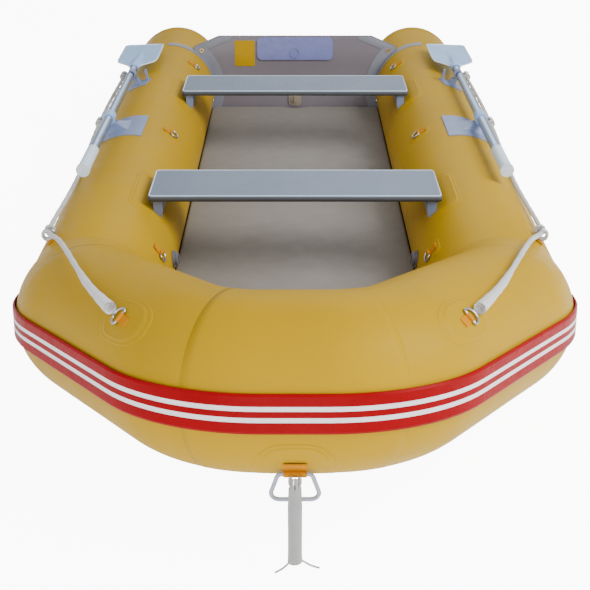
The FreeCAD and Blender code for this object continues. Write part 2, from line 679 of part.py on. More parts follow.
def transom_eyelets():
    """Brass eyelets near the transom's shoulders for the motor's safety line."""
    half = dim("transom_thickness") / 2
    eyes = []
    for name, side in SIDES:
        eye = new_body("eyelet_" + name, TRANSOM)
        face = half + FLANGE_GAP + FLANGE_THICKNESS + 0.2
        rings = ("washer", 10, 2.5, False), ("sleeve", 7.7, half + face, True)
        for feature, radius, length, inward in rings:
            sketch = new_sketch(eye, XZ, feature + "_ring", face)
            add_circle(sketch, side * EYELET_X, EYELET_HEIGHT, radius)
            add_circle(sketch, side * EYELET_X, EYELET_HEIGHT, 5)
            add_pad(eye, sketch, length, feature, reverse=inward)
        eyes.append(eye)
    return group("transom_eyelets", eyes)


# ---------------------------------------------------------------- benches
def bench(label, middle_cell):
    """Bench board with a lip at each end that hooks over the seat holder."""
    length, depth, thickness = dim("bench_length"), dim("bench_depth"), dim("bench_thickness")
    body = new_body(label, Placement(Vector(0, dim(middle_cell), dim("bench_top")), Rotation()))
    body.setExpression(".Placement.Base.y", cell(middle_cell))
    body.setExpression(".Placement.Base.z", cell("bench_top"))
    sketch = new_sketch(body, XY, "plan")
    add_rectangle(sketch, length, depth, 0, 0, cell("bench_length"), cell("bench_depth"))
    pad = add_pad(body, sketch, thickness, "board", cell("bench_thickness"), reverse=True)
    doc.recompute()

    def upright(edge):
        box = edge.BoundBox
        return box.ZMax - box.ZMin > thickness - 1

    def top_rim(edge):
        box = edge.BoundBox
        return box.ZMin > -0.01

    corners = round_edges(body, pad, 12, "corners", upright)
    rim = round_edges(body, corners, 4, "rim", top_rim)
    body.Tip = rim
    hooks = new_sketch(body, XY, "hooks", -thickness)
    for side in (1, -1):
        for x in (HOLDER_INNER - 4, HOLDER_OUTER + 4):
            low, high = side * x - 1.5, side * x + 1.5
            reach = depth / 2 - 15
            points = [(low, -reach), (high, -reach), (high, reach), (low, reach)]
            add_outline(hooks, points)
    add_pad(body, hooks, 11, "lips", reverse=True)
    return keep(body, label)


HOLDER_INNER = 410.0
HOLDER_OUTER = 438.0


def seat_holders():
    """Wedges bonded to the tubes' inner flanks, on which the benches slide."""
    top = dim("bench_top") - dim("bench_thickness") - 0.5
    seat_radius = RADIUS + 1.7
    wedges = []

    def on_seat(x):
        return Vector(x, RADIUS + math.sqrt(seat_radius ** 2 - (SPREAD - x) ** 2), 0)

    outer, middle_seat, inner = on_seat(HOLDER_OUTER), on_seat(427), on_seat(416)
    corners = [inner, Vector(HOLDER_INNER, inner.y + 22, 0), Vector(HOLDER_INNER, top, 0),
               Vector(HOLDER_OUTER, top, 0), outer]
    for place, middle in (("front", dim("front_bench_middle")), ("rear", dim("rear_bench_middle"))):
        for name, side in SIDES:
            body = new_body("holder_%s_%s" % (place, name), Placement(Vector(0, middle, 0), Rotation()))
            sketch = new_sketch(body, XZ, "section")
            flip = [Vector(side * p.x, p.y, 0) for p in corners]
            arc_middle = Vector(side * middle_seat.x, middle_seat.y, 0)
            edges = [Part.LineSegment(p, q) for p, q in zip(flip, flip[1:])]
            sketch.addGeometry(edges + [Part.Arc(flip[-1], arc_middle, flip[0])], False)
            add_pad(body, sketch, dim("holder_length"), "wedge", cell("holder_length"), midplane=True)
            wedges.append(body)
    return group("seat_holders", wedges)


# ---------------------------------------------------------------- patches, tabs and rings
def skin_patch(frame, axis_point, axis_direction, across, along, thickness=1.2, gap=0.1):
    """An oval doubler wrapped on a straight tube, measured across and along it."""
    reach = 900
    base = axis_point - axis_direction * reach
    outer = Part.makeCylinder(RADIUS + gap + thickness, 2 * reach, base, axis_direction)
    sleeve = outer.cut(Part.makeCylinder(RADIUS + gap, 2 * reach, base, axis_direction))
    major, minor = max(across, along) / 2, min(across, along) / 2
    ellipse = Part.Ellipse(Vector(0, 0, -60), major, minor)
    face = Part.Face(Part.Wire(ellipse.toShape()))
    if along > across:
        face.rotate(Vector(), Vector(0, 0, 1), 90)
    prism = face.extrude(Vector(0, 0, 90))
    prism.Placement = frame
    return sleeve.common(prism)


def skin_plate(y, angle, outline, thickness):
    """A plate with a straight-sided outline, wrapped on the port side tube."""
    axis = Vector(0, 1, 0)
    base = Vector(SPREAD, y - 300, RADIUS)
    outer = Part.makeCylinder(RADIUS + 0.2 + thickness, 600, base, axis)
    sleeve = outer.cut(Part.makeCylinder(RADIUS + 0.2, 600, base, axis))
    corners = [Vector(px, py, -60) for px, py in outline]
    prism = Part.Face(Part.makePolygon(corners + corners[:1])).extrude(Vector(0, 0, 90))
    prism.Placement = on_side(1, y, angle)
    return sleeve.common(prism)


def side_patch(side, y, angle, across, along):
    axis_point = Vector(side * SPREAD, y, RADIUS)
    return skin_patch(on_side(side, y, angle), axis_point, Vector(0, 1, 0), across, along)


def panel_patch(side, distance, angle, across, along):
    local = SIDE_CORNER + PANEL_DIRECTION * distance
    axis_point = RAKED.multVec(Vector(side * local.x, local.y, 0))
    direction = RAKED.Rotation.multVec(Vector(side * PANEL_DIRECTION.x, PANEL_DIRECTION.y, 0))
    return skin_patch(on_panel(side, distance, angle), axis_point, direction, across, along)


INNER_RINGS = [("aft", 978, 129), ("mid", 112, 127), ("front", -718, 152)]
OUTER_SIDE_RINGS = [("fore", -742, 51), ("mid", 360, 31), ("aft", 930, 34)]
PANEL_RING_DISTANCE, PANEL_RING_ANGLE, PANEL_RING_SKEW = 528, 42.4, 9
TOW_ANGLE = -50.0


def tab_shape(pin_clearance):
    """Folded tab: a flat tail on the skin and a loop round the ring's bar."""
    lift, wire, width = dim("ring_lift"), dim("ring_wire"), 22
    bore = wire + pin_clearance
    loop = bore + 2
    rear = Vector(0, -width / 2, lift)
    eye = Part.makeCylinder(loop, width, rear, Vector(0, 1, 0))
    tail = Part.makeBox(30, width, 3, Vector(2, -width / 2, 1.6))
    hole = Part.makeCylinder(bore, width + 2, rear - Vector(0, 1, 0), Vector(0, 1, 0))
    return eye.fuse(tail).cut(hole)


def d_ring(label, placement):
    """Steel D-ring: a straight bar that turns in its tab, and a round bow."""
    wire = dim("ring_wire")
    body = new_body(label, placement)
    path = new_sketch(body, XY, "path", dim("ring_lift"), cell("ring_lift"))
    corner, bow_radius, bar = 7.0, 20.0, 13.0
    path.addGeometry([
        Part.LineSegment(Vector(0, -bar, 0), Vector(0, bar, 0)),
        half_arc(Vector(0, bar, 0), Vector(-corner, bow_radius, 0), Vector(-corner, bar, 0)),
        Part.Arc(Vector(-corner, bow_radius, 0), Vector(-corner - bow_radius, 0, 0),
                 Vector(-corner, -bow_radius, 0)),
        half_arc(Vector(-corner, -bow_radius, 0), Vector(0, -bar, 0), Vector(-corner, -bar, 0))], False)
    section = new_sketch(body, XZ, "wire", bar)
    add_circle(section, 0, dim("ring_lift"), wire, cell("ring_wire"))
    add_pipe(body, section, path)
    return body


def fittings_on_the_skin():
    """Patches, tabs and D-rings; the inner rings swing, the outer ones are held by the grab line."""
    patches, tabs, outer_rings = [], [], []
    running = dim("pin_clearance")
    bar = Vector(0, 0, dim("ring_lift"))
    raised = Placement(Vector(), Rotation(Vector(0, 1, 0), 90), bar)
    resting = Placement(Vector(), Rotation(Vector(0, 1, 0), -8), bar)
    for name, side in SIDES:
        for place, y, angle in INNER_RINGS:
            turn = 0 if side > 0 else 180
            patches.append(side_patch(side, y, angle, 84, 84))
            tabs.append((on_side(side, y, angle, 0, turn), running))
            frame = on_side(side, y, angle, 0, turn).multiply(resting)
            ring = d_ring("inner_ring_%s_%s" % (name, place), frame)
            keep(ring, "inner_ring_%s_%s" % (name, place))
        for place, y, angle in OUTER_SIDE_RINGS:
            frame = on_side(side, y, angle, 0, -90)
            patches.append(side_patch(side, y, angle, 90, 42 if place == "fore" else 120))
            tabs.append((frame, running))
            outer_rings.append(d_ring("outer_ring_%s_%s" % (name, place), frame.multiply(raised)))
        frame = on_panel(side, PANEL_RING_DISTANCE, PANEL_RING_ANGLE, 0, -90 + side * PANEL_RING_SKEW)
        patches.append(panel_patch(side, PANEL_RING_DISTANCE, PANEL_RING_ANGLE, 110, 150))
        tabs.append((frame, running))
        outer_rings.append(d_ring("outer_ring_%s_bow" % name, frame))
    for middle in (dim("front_bench_middle"), dim("rear_bench_middle")):
        for name, side in SIDES:
            patches.append(side_patch(side, middle, 128, 130, 270))
    bow_axis = RAKED.multVec(BOW_MIDDLE)
    patches.append(skin_patch(on_bow(0, -41), bow_axis, ACROSS, 210, 165))
    keep(shaped("hull_patches", Part.makeCompound(patches)), "hull_patches")
    placed = []
    for frame, clearance in tabs:
        tab = tab_shape(clearance)
        tab.Placement = frame
        placed.append(tab)
    keep(shaped("ring_tabs", Part.makeCompound(placed)), "ring_tabs")
    group("outer_rings", outer_rings)


# ---------------------------------------------------------------- tow handle and its tab
HANDLE_BAR = 5.0
HANDLE_FRAME = Placement(on_bow(0, TOW_ANGLE, 11).Base, Rotation())


def tow_handle():
    """Moulded loop that hangs from the bow tab: a narrow top bar and a wider bottom bar."""
    body = new_body("tow_handle", HANDLE_FRAME)
    path = new_sketch(body, XZ, "path")
    top_half, bottom_half, drop, corner = 36.0, 58.0, 70.0, 18.0
    top = [Vector(-top_half, 0, 0), Vector(top_half, 0, 0)]
    foot = [Vector(bottom_half, -drop, 0), Vector(-bottom_half, -drop, 0)]
    loop = top + foot
    arcs = [bend(loop[i - 1], loop[i], loop[(i + 1) % 4], corner if i > 1 else 12.0) for i in range(4)]
    edges = []
    middle_top = Vector(0, 0, 0)
    edges.append(Part.LineSegment(middle_top, arcs[1][0]))
    for i in (1, 2, 3, 0):
        edges.append(Part.Arc(arcs[i][0], arcs[i][1], arcs[i][2]))
        if i != 0:
            edges.append(Part.LineSegment(arcs[i][2], arcs[(i + 1) % 4][0]))
    edges.append(Part.LineSegment(arcs[0][2], middle_top))
    path.addGeometry(edges, False)
    section = new_sketch(body, YZ, "bar")
    add_circle(section, 0, 0, HANDLE_BAR)
    add_pipe(body, section, path)
    return keep(body, "tow_handle")


def tow_tab():
    """Webbing loop that holds the tow handle's bar and the bow line against the bow."""
    width = 50
    frame = on_bow(0, TOW_ANGLE)
    bore = HANDLE_BAR + dim("pin_clearance")
    loop = bore + 2.2
    eye = Part.makeCylinder(loop, width, Vector(-width / 2, 0, 11), ACROSS)
    tail = Part.makeBox(width, 42, 3, Vector(-width / 2, 2, 1.6))
    rise = Part.makeBox(width, 4, 7, Vector(-width / 2, 1.5, 1.6))
    hole = Part.makeCylinder(bore, width + 2, Vector(-width / 2 - 1, 0, 11), ACROSS)
    tab = eye.fuse([tail, rise]).cut(hole)
    sink = Part.makeCylinder(RADIUS + 1.5, width + 2, Vector(-width / 2 - 1, 0, -RADIUS), ACROSS)
    keep(shaped("tow_tab", tab.cut(sink), frame), "tow_tab")


# ---------------------------------------------------------------- valves
VALVES = [("port", on_side(1, -600, 176)), ("starboard", on_side(-1, -600, 176)), ("bow", on_bow(0, 178)),
          ("deck", Placement(Vector(0, -870, dim("deck_top")), Rotation()))]


def valves():
    """Push-pin inflation valves: a flanged seat on each chamber and a quarter-turn cap."""
    seats = []
    for name, frame in VALVES:
        seat = new_body("valve_seat_" + name, frame)
        flange = new_sketch(seat, XY, "flange", 0.4)
        add_circle(flange, 0, 0, 27)
        add_pad(seat, flange, 5, "flange_plate")
        neck = new_sketch(seat, XY, "neck", 5.4)
        add_circle(neck, 0, 0, 20)
        add_circle(neck, 0, 0, 12)
        add_pad(seat, neck, 4, "neck_ring")
        seats.append(seat)
        cap = new_body("valve_cap_" + name, frame)
        lid = new_sketch(cap, XY, "lid", 9.5)
        add_circle(lid, 0, 0, 21)
        add_pad(cap, lid, 6, "disc")
        stub = new_sketch(cap, XY, "stub", 9.5)
        add_circle(stub, 0, 0, 11.93)
        add_pad(cap, stub, 3.5, "stub_pin", reverse=True)
        bar = new_sketch(cap, XY, "bar", 15.5)
        add_rounded_rectangle(bar, 34, 7, 3, 0, 0)
        add_pad(cap, bar, 4, "grip_bar")
        keep(cap, "valve_cap_" + name)
    group("valve_seats", seats)


# ---------------------------------------------------------------- oarlocks, clips and oars
def oar_frame(y=0.0, height=None):
    """Frame at the port oar: x outboard, y aft, z off the tube."""
    lift = dim("oar_height") if height is None else height
    return on_side(1, y, dim("oar_angle"), lift)


def oarlock_base():
    """Moulded pad that hugs the tube and rises on four ridges to the oarlock pin's socket."""
    line = dim("oarlock_line")
    frame = oar_frame(line, 0)
    web = new_body("boss_web", frame)
    levels = [(-31, -106, 48, 96), (-2, -52, 26, 46), (23, -19, 17, 17)]
    sketches = []
    for number, (level, inboard, outboard, reach) in enumerate(levels):
        sketch = new_sketch(web, XY, "level_%d" % number, level)
        add_outline(sketch, [(inboard, -reach), (outboard, -reach), (outboard, reach), (inboard, reach)])
        sketches.append(sketch)
    loft = web.newObject("PartDesign::AdditiveLoft", "ridges")
    loft.Profile = sketches[0]
    loft.Sections = sketches[1:]
    top = cylinder_object("boss_top", 17, 10, frame.multiply(Placement(Vector(0, 0, 18), Rotation())))
    solid = boolean("Fuse", "boss_solid", web, top)
    outline = [(-76, -104), (76, -88), (76, 88), (-76, 104)]
    plate = shaped("boss_plate", skin_plate(line, dim("oar_angle") + 9, outline, 3.2))
    padded = boolean("Fuse", "boss_padded", solid, plate)
    under = Placement(Vector(SPREAD, line + 200, RADIUS), Rotation(Vector(1, 0, 0), 90))
    tube = cylinder_object("boss_seat", RADIUS + 0.2, 400, under, cell("tube_radius") + " + 0.2")
    seated = boolean("Cut", "boss_seated", padded, tube)
    deep = frame.multiply(Placement(Vector(0, 0, 5), Rotation()))
    socket_cell = cell("pin_radius") + " + " + cell("pin_clearance")
    socket = cylinder_object("pin_socket", 6.08, 40, deep, socket_cell)
    return keep(boolean("Cut", "oarlock_base_port", seated, socket), "oarlock_base_port")


def stowing_clip():
    """Pad with a post and a hook, open outboard, in which the oar shaft lies."""
    width, bore, wall = 26.0, dim("shaft_radius") + 0.4, 5.0
    frame = oar_frame(dim("clip_line"), 0)
    height = dim("oar_height")
    ring = Part.makeCylinder(bore + wall, width, Vector(0, -width / 2, height), Vector(0, 1, 0))
    post = Part.makeBox(22, width, height - bore - 2, Vector(-22, -width / 2, -2))
    pad = skin_plate(dim("clip_line"), dim("oar_angle"), [(-44, -30), (34, -38), (34, 38), (-58, 46)], 4)
    pad.Placement = frame.inverse().multiply(pad.Placement)
    prong = Part.makeBox(7, 22, 60, Vector(-52, 18, -20))
    prong.rotate(Vector(-52, 18, 0), Vector(0, 1, 0), -12)
    hollow = Part.makeCylinder(bore, width + 2, Vector(0, -width / 2 - 1, height), Vector(0, 1, 0))
    gate = Part.makeBox(60, width + 2, 2 * bore + 30, Vector(0, -width / 2 - 1, height - bore))
    upper_gate = Part.makeBox(60, width + 2, 60, Vector(-6, -width / 2 - 1, height + 6))
    clip = ring.fuse([post, pad, prong]).cut([hollow, gate, upper_gate])
    clip.Placement = frame
    start = Vector(SPREAD, dim("clip_line") - 200, RADIUS)
    tube = Part.makeCylinder(RADIUS + 0.2, 400, start, Vector(0, 1, 0))
    return keep(shaped("oar_clip_port", clip.cut(tube)), "oar_clip_port")


BLADE_TIP, BLADE_ROOT = 1030.0, 700.0
LOWER_START, UPPER_END = 240.0, 385.0
GRIP_START, GRIP_END = -238.0, -409.0
BUTTON_Y = 345.0


def port_oar():
    """Two-piece oar lying along the tube: blade, two shafts, snap button, collar with pin and grip."""
    frame = oar_frame()
    outer, wall = dim("shaft_radius"), dim("shaft_wall")
    inner = outer - wall
    play = 0.08

    feathered = frame.multiply(Placement(Vector(), Rotation(Vector(0, 1, 0), -dim("blade_feather"))))
    blade = new_body("oar_blade_port", feathered)
    outline = new_sketch(blade, XY, "outline", -3)
    half, corner = 84.0, 12.0
    shoulder, side = BLADE_ROOT + 66, BLADE_ROOT + 105
    turn = corner * (1 - math.sqrt(0.5))
    outline.addGeometry([
        Part.LineSegment(Vector(-16, BLADE_ROOT, 0), Vector(16, BLADE_ROOT, 0)),
        Part.LineSegment(Vector(16, BLADE_ROOT, 0), Vector(half - 6, shoulder, 0)),
        Part.LineSegment(Vector(half - 6, shoulder, 0), Vector(half, side, 0)),
        Part.LineSegment(Vector(half, side, 0), Vector(half, BLADE_TIP - corner, 0)),
        Part.Arc(Vector(half, BLADE_TIP - corner, 0), Vector(half - turn, BLADE_TIP - turn, 0),
                 Vector(half - corner, BLADE_TIP, 0)),
        Part.LineSegment(Vector(half - corner, BLADE_TIP, 0), Vector(corner - half, BLADE_TIP, 0)),
        Part.Arc(Vector(corner - half, BLADE_TIP, 0), Vector(turn - half, BLADE_TIP - turn, 0),
                 Vector(-half, BLADE_TIP - corner, 0)),
        Part.LineSegment(Vector(-half, BLADE_TIP - corner, 0), Vector(-half, side, 0)),
        Part.LineSegment(Vector(-half, side, 0), Vector(6 - half, shoulder, 0)),
        Part.LineSegment(Vector(6 - half, shoulder, 0), Vector(-16, BLADE_ROOT, 0))], False)
    add_pad(blade, outline, 6, "plate")
    neck = new_sketch(blade, XZ, "neck", -BLADE_ROOT + 20)
    add_circle(neck, 0, 0, inner + 2.5)
    add_pad(blade, neck, 180, "neck_socket", reverse=True)
    bore = new_sketch(blade, XZ, "neck_bore", -BLADE_ROOT + 21)
    add_circle(bore, 0, 0, inner - play + 0.02)
    add_pocket(blade, bore, 100, "shaft_bore")
    keep(blade, "oar_blade_port")

    lower = new_body("oar_lower_shaft_port", frame)
    ring = new_sketch(lower, XZ, "section", -LOWER_START)
    add_circle(ring, 0, 0, inner - play)
    add_circle(ring, 0, 0, inner - play - wall)
    add_pad(lower, ring, BLADE_ROOT + 75 - LOWER_START, "tube", reverse=True)
    button_hole = new_sketch(lower, XY, "button_hole")
    add_circle(button_hole, 0, BUTTON_Y, 4.08)
    add_pocket(lower, button_hole, 20, "button_bore", reverse=True)
    keep(lower, "oar_lower_shaft_port")

    upper = new_body("oar_upper_shaft_port", frame)
    ring = new_sketch(upper, XZ, "section", -UPPER_END)
    add_circle(ring, 0, 0, outer, cell("shaft_radius"))
    add_circle(ring, 0, 0, inner, cell("shaft_radius") + " - " + cell("shaft_wall"))
    add_pad(upper, ring, UPPER_END - GRIP_END - 8, "tube")
    button_hole = new_sketch(upper, XY, "button_hole")
    add_circle(button_hole, 0, BUTTON_Y, 4.08)
    add_pocket(upper, button_hole, 20, "button_bore", reverse=True)
    keep(upper, "oar_upper_shaft_port")

    button = new_body("oar_button_port", frame)
    dot = new_sketch(button, XY, "dot", 6)
    add_circle(dot, 0, BUTTON_Y, 4.0)
    add_pad(button, dot, outer + 2.5 - 6, "pin")
    keep(button, "oar_button_port")

    grip = new_body("oar_grip_port", frame)
    sleeve = new_sketch(grip, XZ, "sleeve", -GRIP_START)
    add_circle(sleeve, 0, 0, outer + 3)
    add_circle(sleeve, 0, 0, outer + 0.02)
    add_pad(grip, sleeve, GRIP_START - GRIP_END, "sleeve_tube")
    cap = new_sketch(grip, XZ, "cap", -GRIP_END)
    add_circle(cap, 0, 0, outer + 5.5)
    add_pad(grip, cap, 6, "end_disc", reverse=True)
    knob = new_sketch(grip, XZ, "knob", -GRIP_END)
    add_circle(knob, 0, 0, outer + 5.5)
    add_pad(grip, knob, 6, "end_knob")
    keep(grip, "oar_grip_port")

    line = dim("oarlock_line")
    collar = new_body("oar_collar_port", frame)
    clamp = new_sketch(collar, XZ, "clamp", -line)
    add_circle(clamp, 0, 0, outer + 4.9)
    add_circle(clamp, 0, 0, outer + 0.02)
    add_pad(collar, clamp, 46, "clamp_ring", midplane=True)
    lift = dim("oar_height")
    pin = new_sketch(collar, XY, "pin", -(outer + 0.5))
    add_circle(pin, 0, line, dim("pin_radius"), cell("pin_radius"))
    add_pad(collar, pin, lift - outer - 0.5 - 7, "pin", reverse=True)
    shoulder = new_sketch(collar, XY, "shoulder", -(outer + 0.5))
    add_circle(shoulder, 0, line, 12)
    add_pad(collar, shoulder, lift - outer - 0.5 - 28.5, "shoulder_disc", reverse=True)
    keep(collar, "oar_collar_port")


# ---------------------------------------------------------------- ropes
def rope_edges(points):
    """Straight runs joined by tangent arcs as large as the runs allow, with the arcs' radii."""
    route = [Vector(*p) for p in points]
    edges, radii = [], []
    last = route[0]
    for before, corner, after in zip(route, route[1:], route[2:]):
        back, on = (before - corner), (after - corner)
        turn = math.pi - back.getAngle(on)
        run = min(back.Length, on.Length)
        radius = 0.45 * run / math.tan(turn / 2)
        start, middle, end, centre = bend(before, corner, after, radius)
        edges.append(Part.LineSegment(last, start))
        edges.append(Part.Arc(start, middle, end))
        radii.append(radius)
        last = end
    edges.append(Part.LineSegment(last, route[-1]))
    return [edge.toShape() for edge in edges], radii


def rope(label, points, radius):
    """A plain round tube along a rope's route; prints its length and arc radii."""
    edges, radii = rope_edges(points)
    wire = Part.Wire(edges)
    start = Vector(*points[0])
    circle = Part.Circle(start, Vector(*points[1]) - start, radius)
    tube = wire.makePipeShell([Part.Wire(circle.toShape())], True, False)
    expected = math.pi * radius ** 2 * wire.Length
    print("%s: length %.0f mm, volume ratio %.4f, arc radii %.0f to %.0f mm"
          % (label, wire.Length, tube.Volume / expected, min(radii), max(radii)))
    return tube


# port grab line: from the bow ring over the corner of the tube, through two side rings to the aft ring
GRAB_LINE = [
    (411, -1393, 508), (474, -1293, 498), (532, -1165, 484), (587, -1035, 465), (634, -922, 442),
    (681, -821, 406), (716, -742, 372), (723, -640, 364), (720, -500, 359), (721, -350, 352),
    (728, -200, 343), (739, -50, 333), (751, 90, 324), (761, 230, 317), (766, 360, 314),
    (768, 490, 315), (767, 620, 317), (764, 760, 320), (761, 855, 322), (760, 930, 324), (760, 972, 327),
]

# the bow line's two loose ends, from the hank to the floor
BOW_LINE_TAILS = [
    [(-9, -1677, 24), (-20, -1681, 13), (-32, -1686, 5.5), (-45, -1691, 2.8)],
    [(11, -1677, 30), (25, -1676, 17), (39, -1676, 7), (55, -1677, 2.8)],
]


def ropes():
    """Grab lines on both sides, and the bow line: a tied hank with two loose ends."""
    line = rope("grab_line_port", GRAB_LINE, dim("grab_rope_radius"))
    keep(shaped("grab_line_port", line), "grab_line_port")
    mirrored(doc.getObject("grab_line_port"), "grab_line_starboard")
    tails = [rope("bow_line_tail", points, dim("bow_rope_radius")) for points in BOW_LINE_TAILS]
    keep(shaped("bow_line_tails", Part.makeCompound(tails)), "bow_line_tails")
    back = HANDLE_FRAME.Base.y - 7.8
    levels = [(266, 13, 6), (238, 15, 10.5), (205, 16.5, 12), (60, 16.5, 12), (34, 19, 13), (12, 12, 9)]
    wires = []
    for height, across, deep in levels:
        ring = Part.Ellipse(Vector(0, back - 13, height), across, deep)
        wires.append(Part.Wire(ring.toShape()))
    wires[0].translate(Vector(0, 13 - 6, 0))
    wires[1].translate(Vector(0, 13 - 10.5, 0))
    hank = Part.makeLoft(wires, True, True)
    keep(shaped("bow_line_hank", hank), "bow_line_hank")


def main():
    hull_side()
    hull_bow_panel()
    hull_bow_centre()
    hull_cone()
    for label in ("hull_side", "hull_bow", "hull_cone"):
        mirrored(doc.getObject(label + "_port"), label + "_starboard")
    rub_strake()
    bottom_skin()
    air_deck()
    keel_tube()
    transom_board()
    motor_plates()
    transom_holder()
    mirrored(doc.getObject("transom_holder_port"), "transom_holder_starboard")
    drain()
    transom_eyelets()
    bench("bench_front", "front_bench_middle")
    bench("bench_rear", "rear_bench_middle")
    seat_holders()
    fittings_on_the_skin()
    tow_handle()
    tow_tab()
    ropes()
    valves()
    oarlock_base()
    stowing_clip()
    port_oar()
    for label in ("oarlock_base", "oar_clip", "oar_blade", "oar_lower_shaft", "oar_upper_shaft",
                  "oar_button", "oar_grip", "oar_collar"):
        mirrored(doc.getObject(label + "_port"), label + "_starboard")


def write_parts():
    """Checks every object, then writes each sub-part to its own file."""
    doc.recompute()
    failed = [o.Name for o in doc.Objects if "Invalid" in o.State or "Error" in o.State]
    for part in NODES:
        if part.Shape.isNull() or not part.Shape.isValid() or part.Shape.Volume <= 0:
            failed.append(part.Label)
    if failed:
        raise RuntimeError("failed objects: " + ", ".join(failed))
    os.makedirs("parts", exist_ok=True)
    for part in NODES:
        part.Shape.exportStep("parts/%s.step" % part.Label)


main()
write_parts()
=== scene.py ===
import bpy
import json
import math
from mathutils import Matrix, Vector


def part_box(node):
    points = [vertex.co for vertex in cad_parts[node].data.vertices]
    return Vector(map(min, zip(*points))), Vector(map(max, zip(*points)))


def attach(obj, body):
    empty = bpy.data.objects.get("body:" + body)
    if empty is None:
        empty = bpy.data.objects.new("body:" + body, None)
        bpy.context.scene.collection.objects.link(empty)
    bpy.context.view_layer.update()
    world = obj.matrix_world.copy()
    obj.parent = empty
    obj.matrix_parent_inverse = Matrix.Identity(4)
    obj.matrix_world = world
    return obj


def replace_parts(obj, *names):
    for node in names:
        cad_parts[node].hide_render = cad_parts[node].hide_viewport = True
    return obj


# Looks of an inflatable sport dinghy: welded tubes, ribbed deck, coated boards, ropes and rubber fittings.
# Metres, +Z up, bow towards -Y, port towards +X.

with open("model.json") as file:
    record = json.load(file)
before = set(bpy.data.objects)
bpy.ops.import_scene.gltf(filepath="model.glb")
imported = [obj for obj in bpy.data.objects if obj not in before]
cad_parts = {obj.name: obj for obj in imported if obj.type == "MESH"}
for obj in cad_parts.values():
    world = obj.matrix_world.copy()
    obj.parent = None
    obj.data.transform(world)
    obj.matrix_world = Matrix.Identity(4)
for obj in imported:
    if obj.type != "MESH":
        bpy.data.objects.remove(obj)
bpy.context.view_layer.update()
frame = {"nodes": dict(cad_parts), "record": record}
NODES = frame["nodes"]
SIDES = (("port", 1), ("starboard", -1))

# ---------------------------------------------------------------- sizes and places on the hull
side_low, side_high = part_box("hull_side_port")
cone_low, cone_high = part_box("hull_cone_port")
RADIUS = (side_high.x - side_low.x) / 2
SPREAD = (side_high.x + side_low.x) / 2
CONE_START = cone_low.y
TAIL_END = cone_high.y
KINK_LINE = -0.846
RAKE = math.radians(15.5)
RISE_RADIUS = 0.25
CORNER_REACH, CORNER_RADIUS = 0.126, 0.274
BOW_FLAT, BOW_REACH, BOW_RADIUS = 0.180, 0.6615, 0.222
CONE_BEND, CONE_SLOPE = 0.25, math.radians(24)
PANEL_STEP = 0.0007
SEAM_LAP = 0.012
BENCH_MIDDLES = (-0.436, 0.587)
INNER_RINGS = ((0.978, 129), (0.112, 127), (-0.718, 152))
OUTER_RINGS = ((0.360, 31), (0.930, 34))
FORE_RING = (-0.742, 51)
BOW_RING_DISTANCE, BOW_RING_ANGLE = 0.528, 42.4


# ---------------------------------------------------------------- the hull's surface
def build_axis():
    """Runs of the port half of the tube's axis, from the stern cone to the middle of the bow."""
    corner = Vector((SPREAD, -CORNER_REACH))
    bow = Vector((BOW_FLAT, -BOW_REACH))
    panel = bow - corner
    first_turn = math.atan2(corner.x - bow.x, corner.y - bow.y)
    second_turn = math.pi / 2 - first_turn
    rise = RISE_RADIUS * math.tan(RAKE / 2)
    first_tangent = CORNER_RADIUS * math.tan(first_turn / 2)
    second_tangent = BOW_RADIUS * math.tan(second_turn / 2)
    runs = [("line", CONE_START - (KINK_LINE + rise), 0.0),
            ("rise", RISE_RADIUS * RAKE, RISE_RADIUS),
            ("line", CORNER_REACH - rise - first_tangent, 0.0),
            ("turn", CORNER_RADIUS * first_turn, CORNER_RADIUS),
            ("line", panel.length - first_tangent - second_tangent, 0.0),
            ("turn", BOW_RADIUS * second_turn, BOW_RADIUS),
            ("line", BOW_FLAT - second_tangent, 0.0)]
    state = (Vector((SPREAD, CONE_START, RADIUS)), Vector((0, -1, 0)), Vector((1, 0, 0)), Vector((0, 0, 1)))
    table, start = [], 0.0
    for kind, length, bend in runs:
        table.append((start, length, kind, bend, state))
        state = move_along(state, kind, bend, length)
        start += length
    return table, start


def move_along(state, kind, bend, distance):
    """Axis point, tangent, outward and up after a distance on one run."""
    point, tangent, outward, up = state
    if kind == "line":
        return point + tangent * distance, tangent, outward, up
    if kind == "rise":
        centre, pivot, angle = point + up * bend, outward, -distance / bend
    else:
        centre, pivot, angle = point - outward * bend, up, -distance / bend
    turn = Matrix.Rotation(angle, 3, pivot)
    return centre + turn @ (point - centre), turn @ tangent, turn @ outward, turn @ up


AXIS, HALF_LENGTH = build_axis()


def axis_at(s):
    """Axis point, tangent, outward and up at a distance along the tube."""
    for start, _, kind, bend, state in reversed(AXIS):
        if s >= start or start == 0.0:
            return move_along(state, kind, bend, s - start)


def radius_at(s):
    """Tube radius: full along the hull, drawn in over the stern cone."""
    back = -s
    if back <= 0:
        return RADIUS
    lead = CONE_BEND * math.sin(CONE_SLOPE)
    if back < lead:
        return RADIUS - CONE_BEND + math.sqrt(CONE_BEND ** 2 - back ** 2)
    return RADIUS - CONE_BEND * (1 - math.cos(CONE_SLOPE)) - (back - lead) * math.tan(CONE_SLOPE)


def skin(s, angle, height=0.0):
    """A point on the hull: s runs from one stern over the bow to the other, angle goes up from outboard."""
    mirror = 1
    if s > HALF_LENGTH:
        s, mirror = 2 * HALF_LENGTH - s, -1
    point, _, outward, up = axis_at(s)
    reach = radius_at(s) + height
    p = point + (outward * math.cos(angle) + up * math.sin(angle)) * reach
    return Vector((p.x * mirror, p.y, p.z))


CORNER_SEAM = AXIS[3][0] + 0.118
BOW_SEAM = AXIS[5][0] + 0.127
PANEL_START = AXIS[4][0]


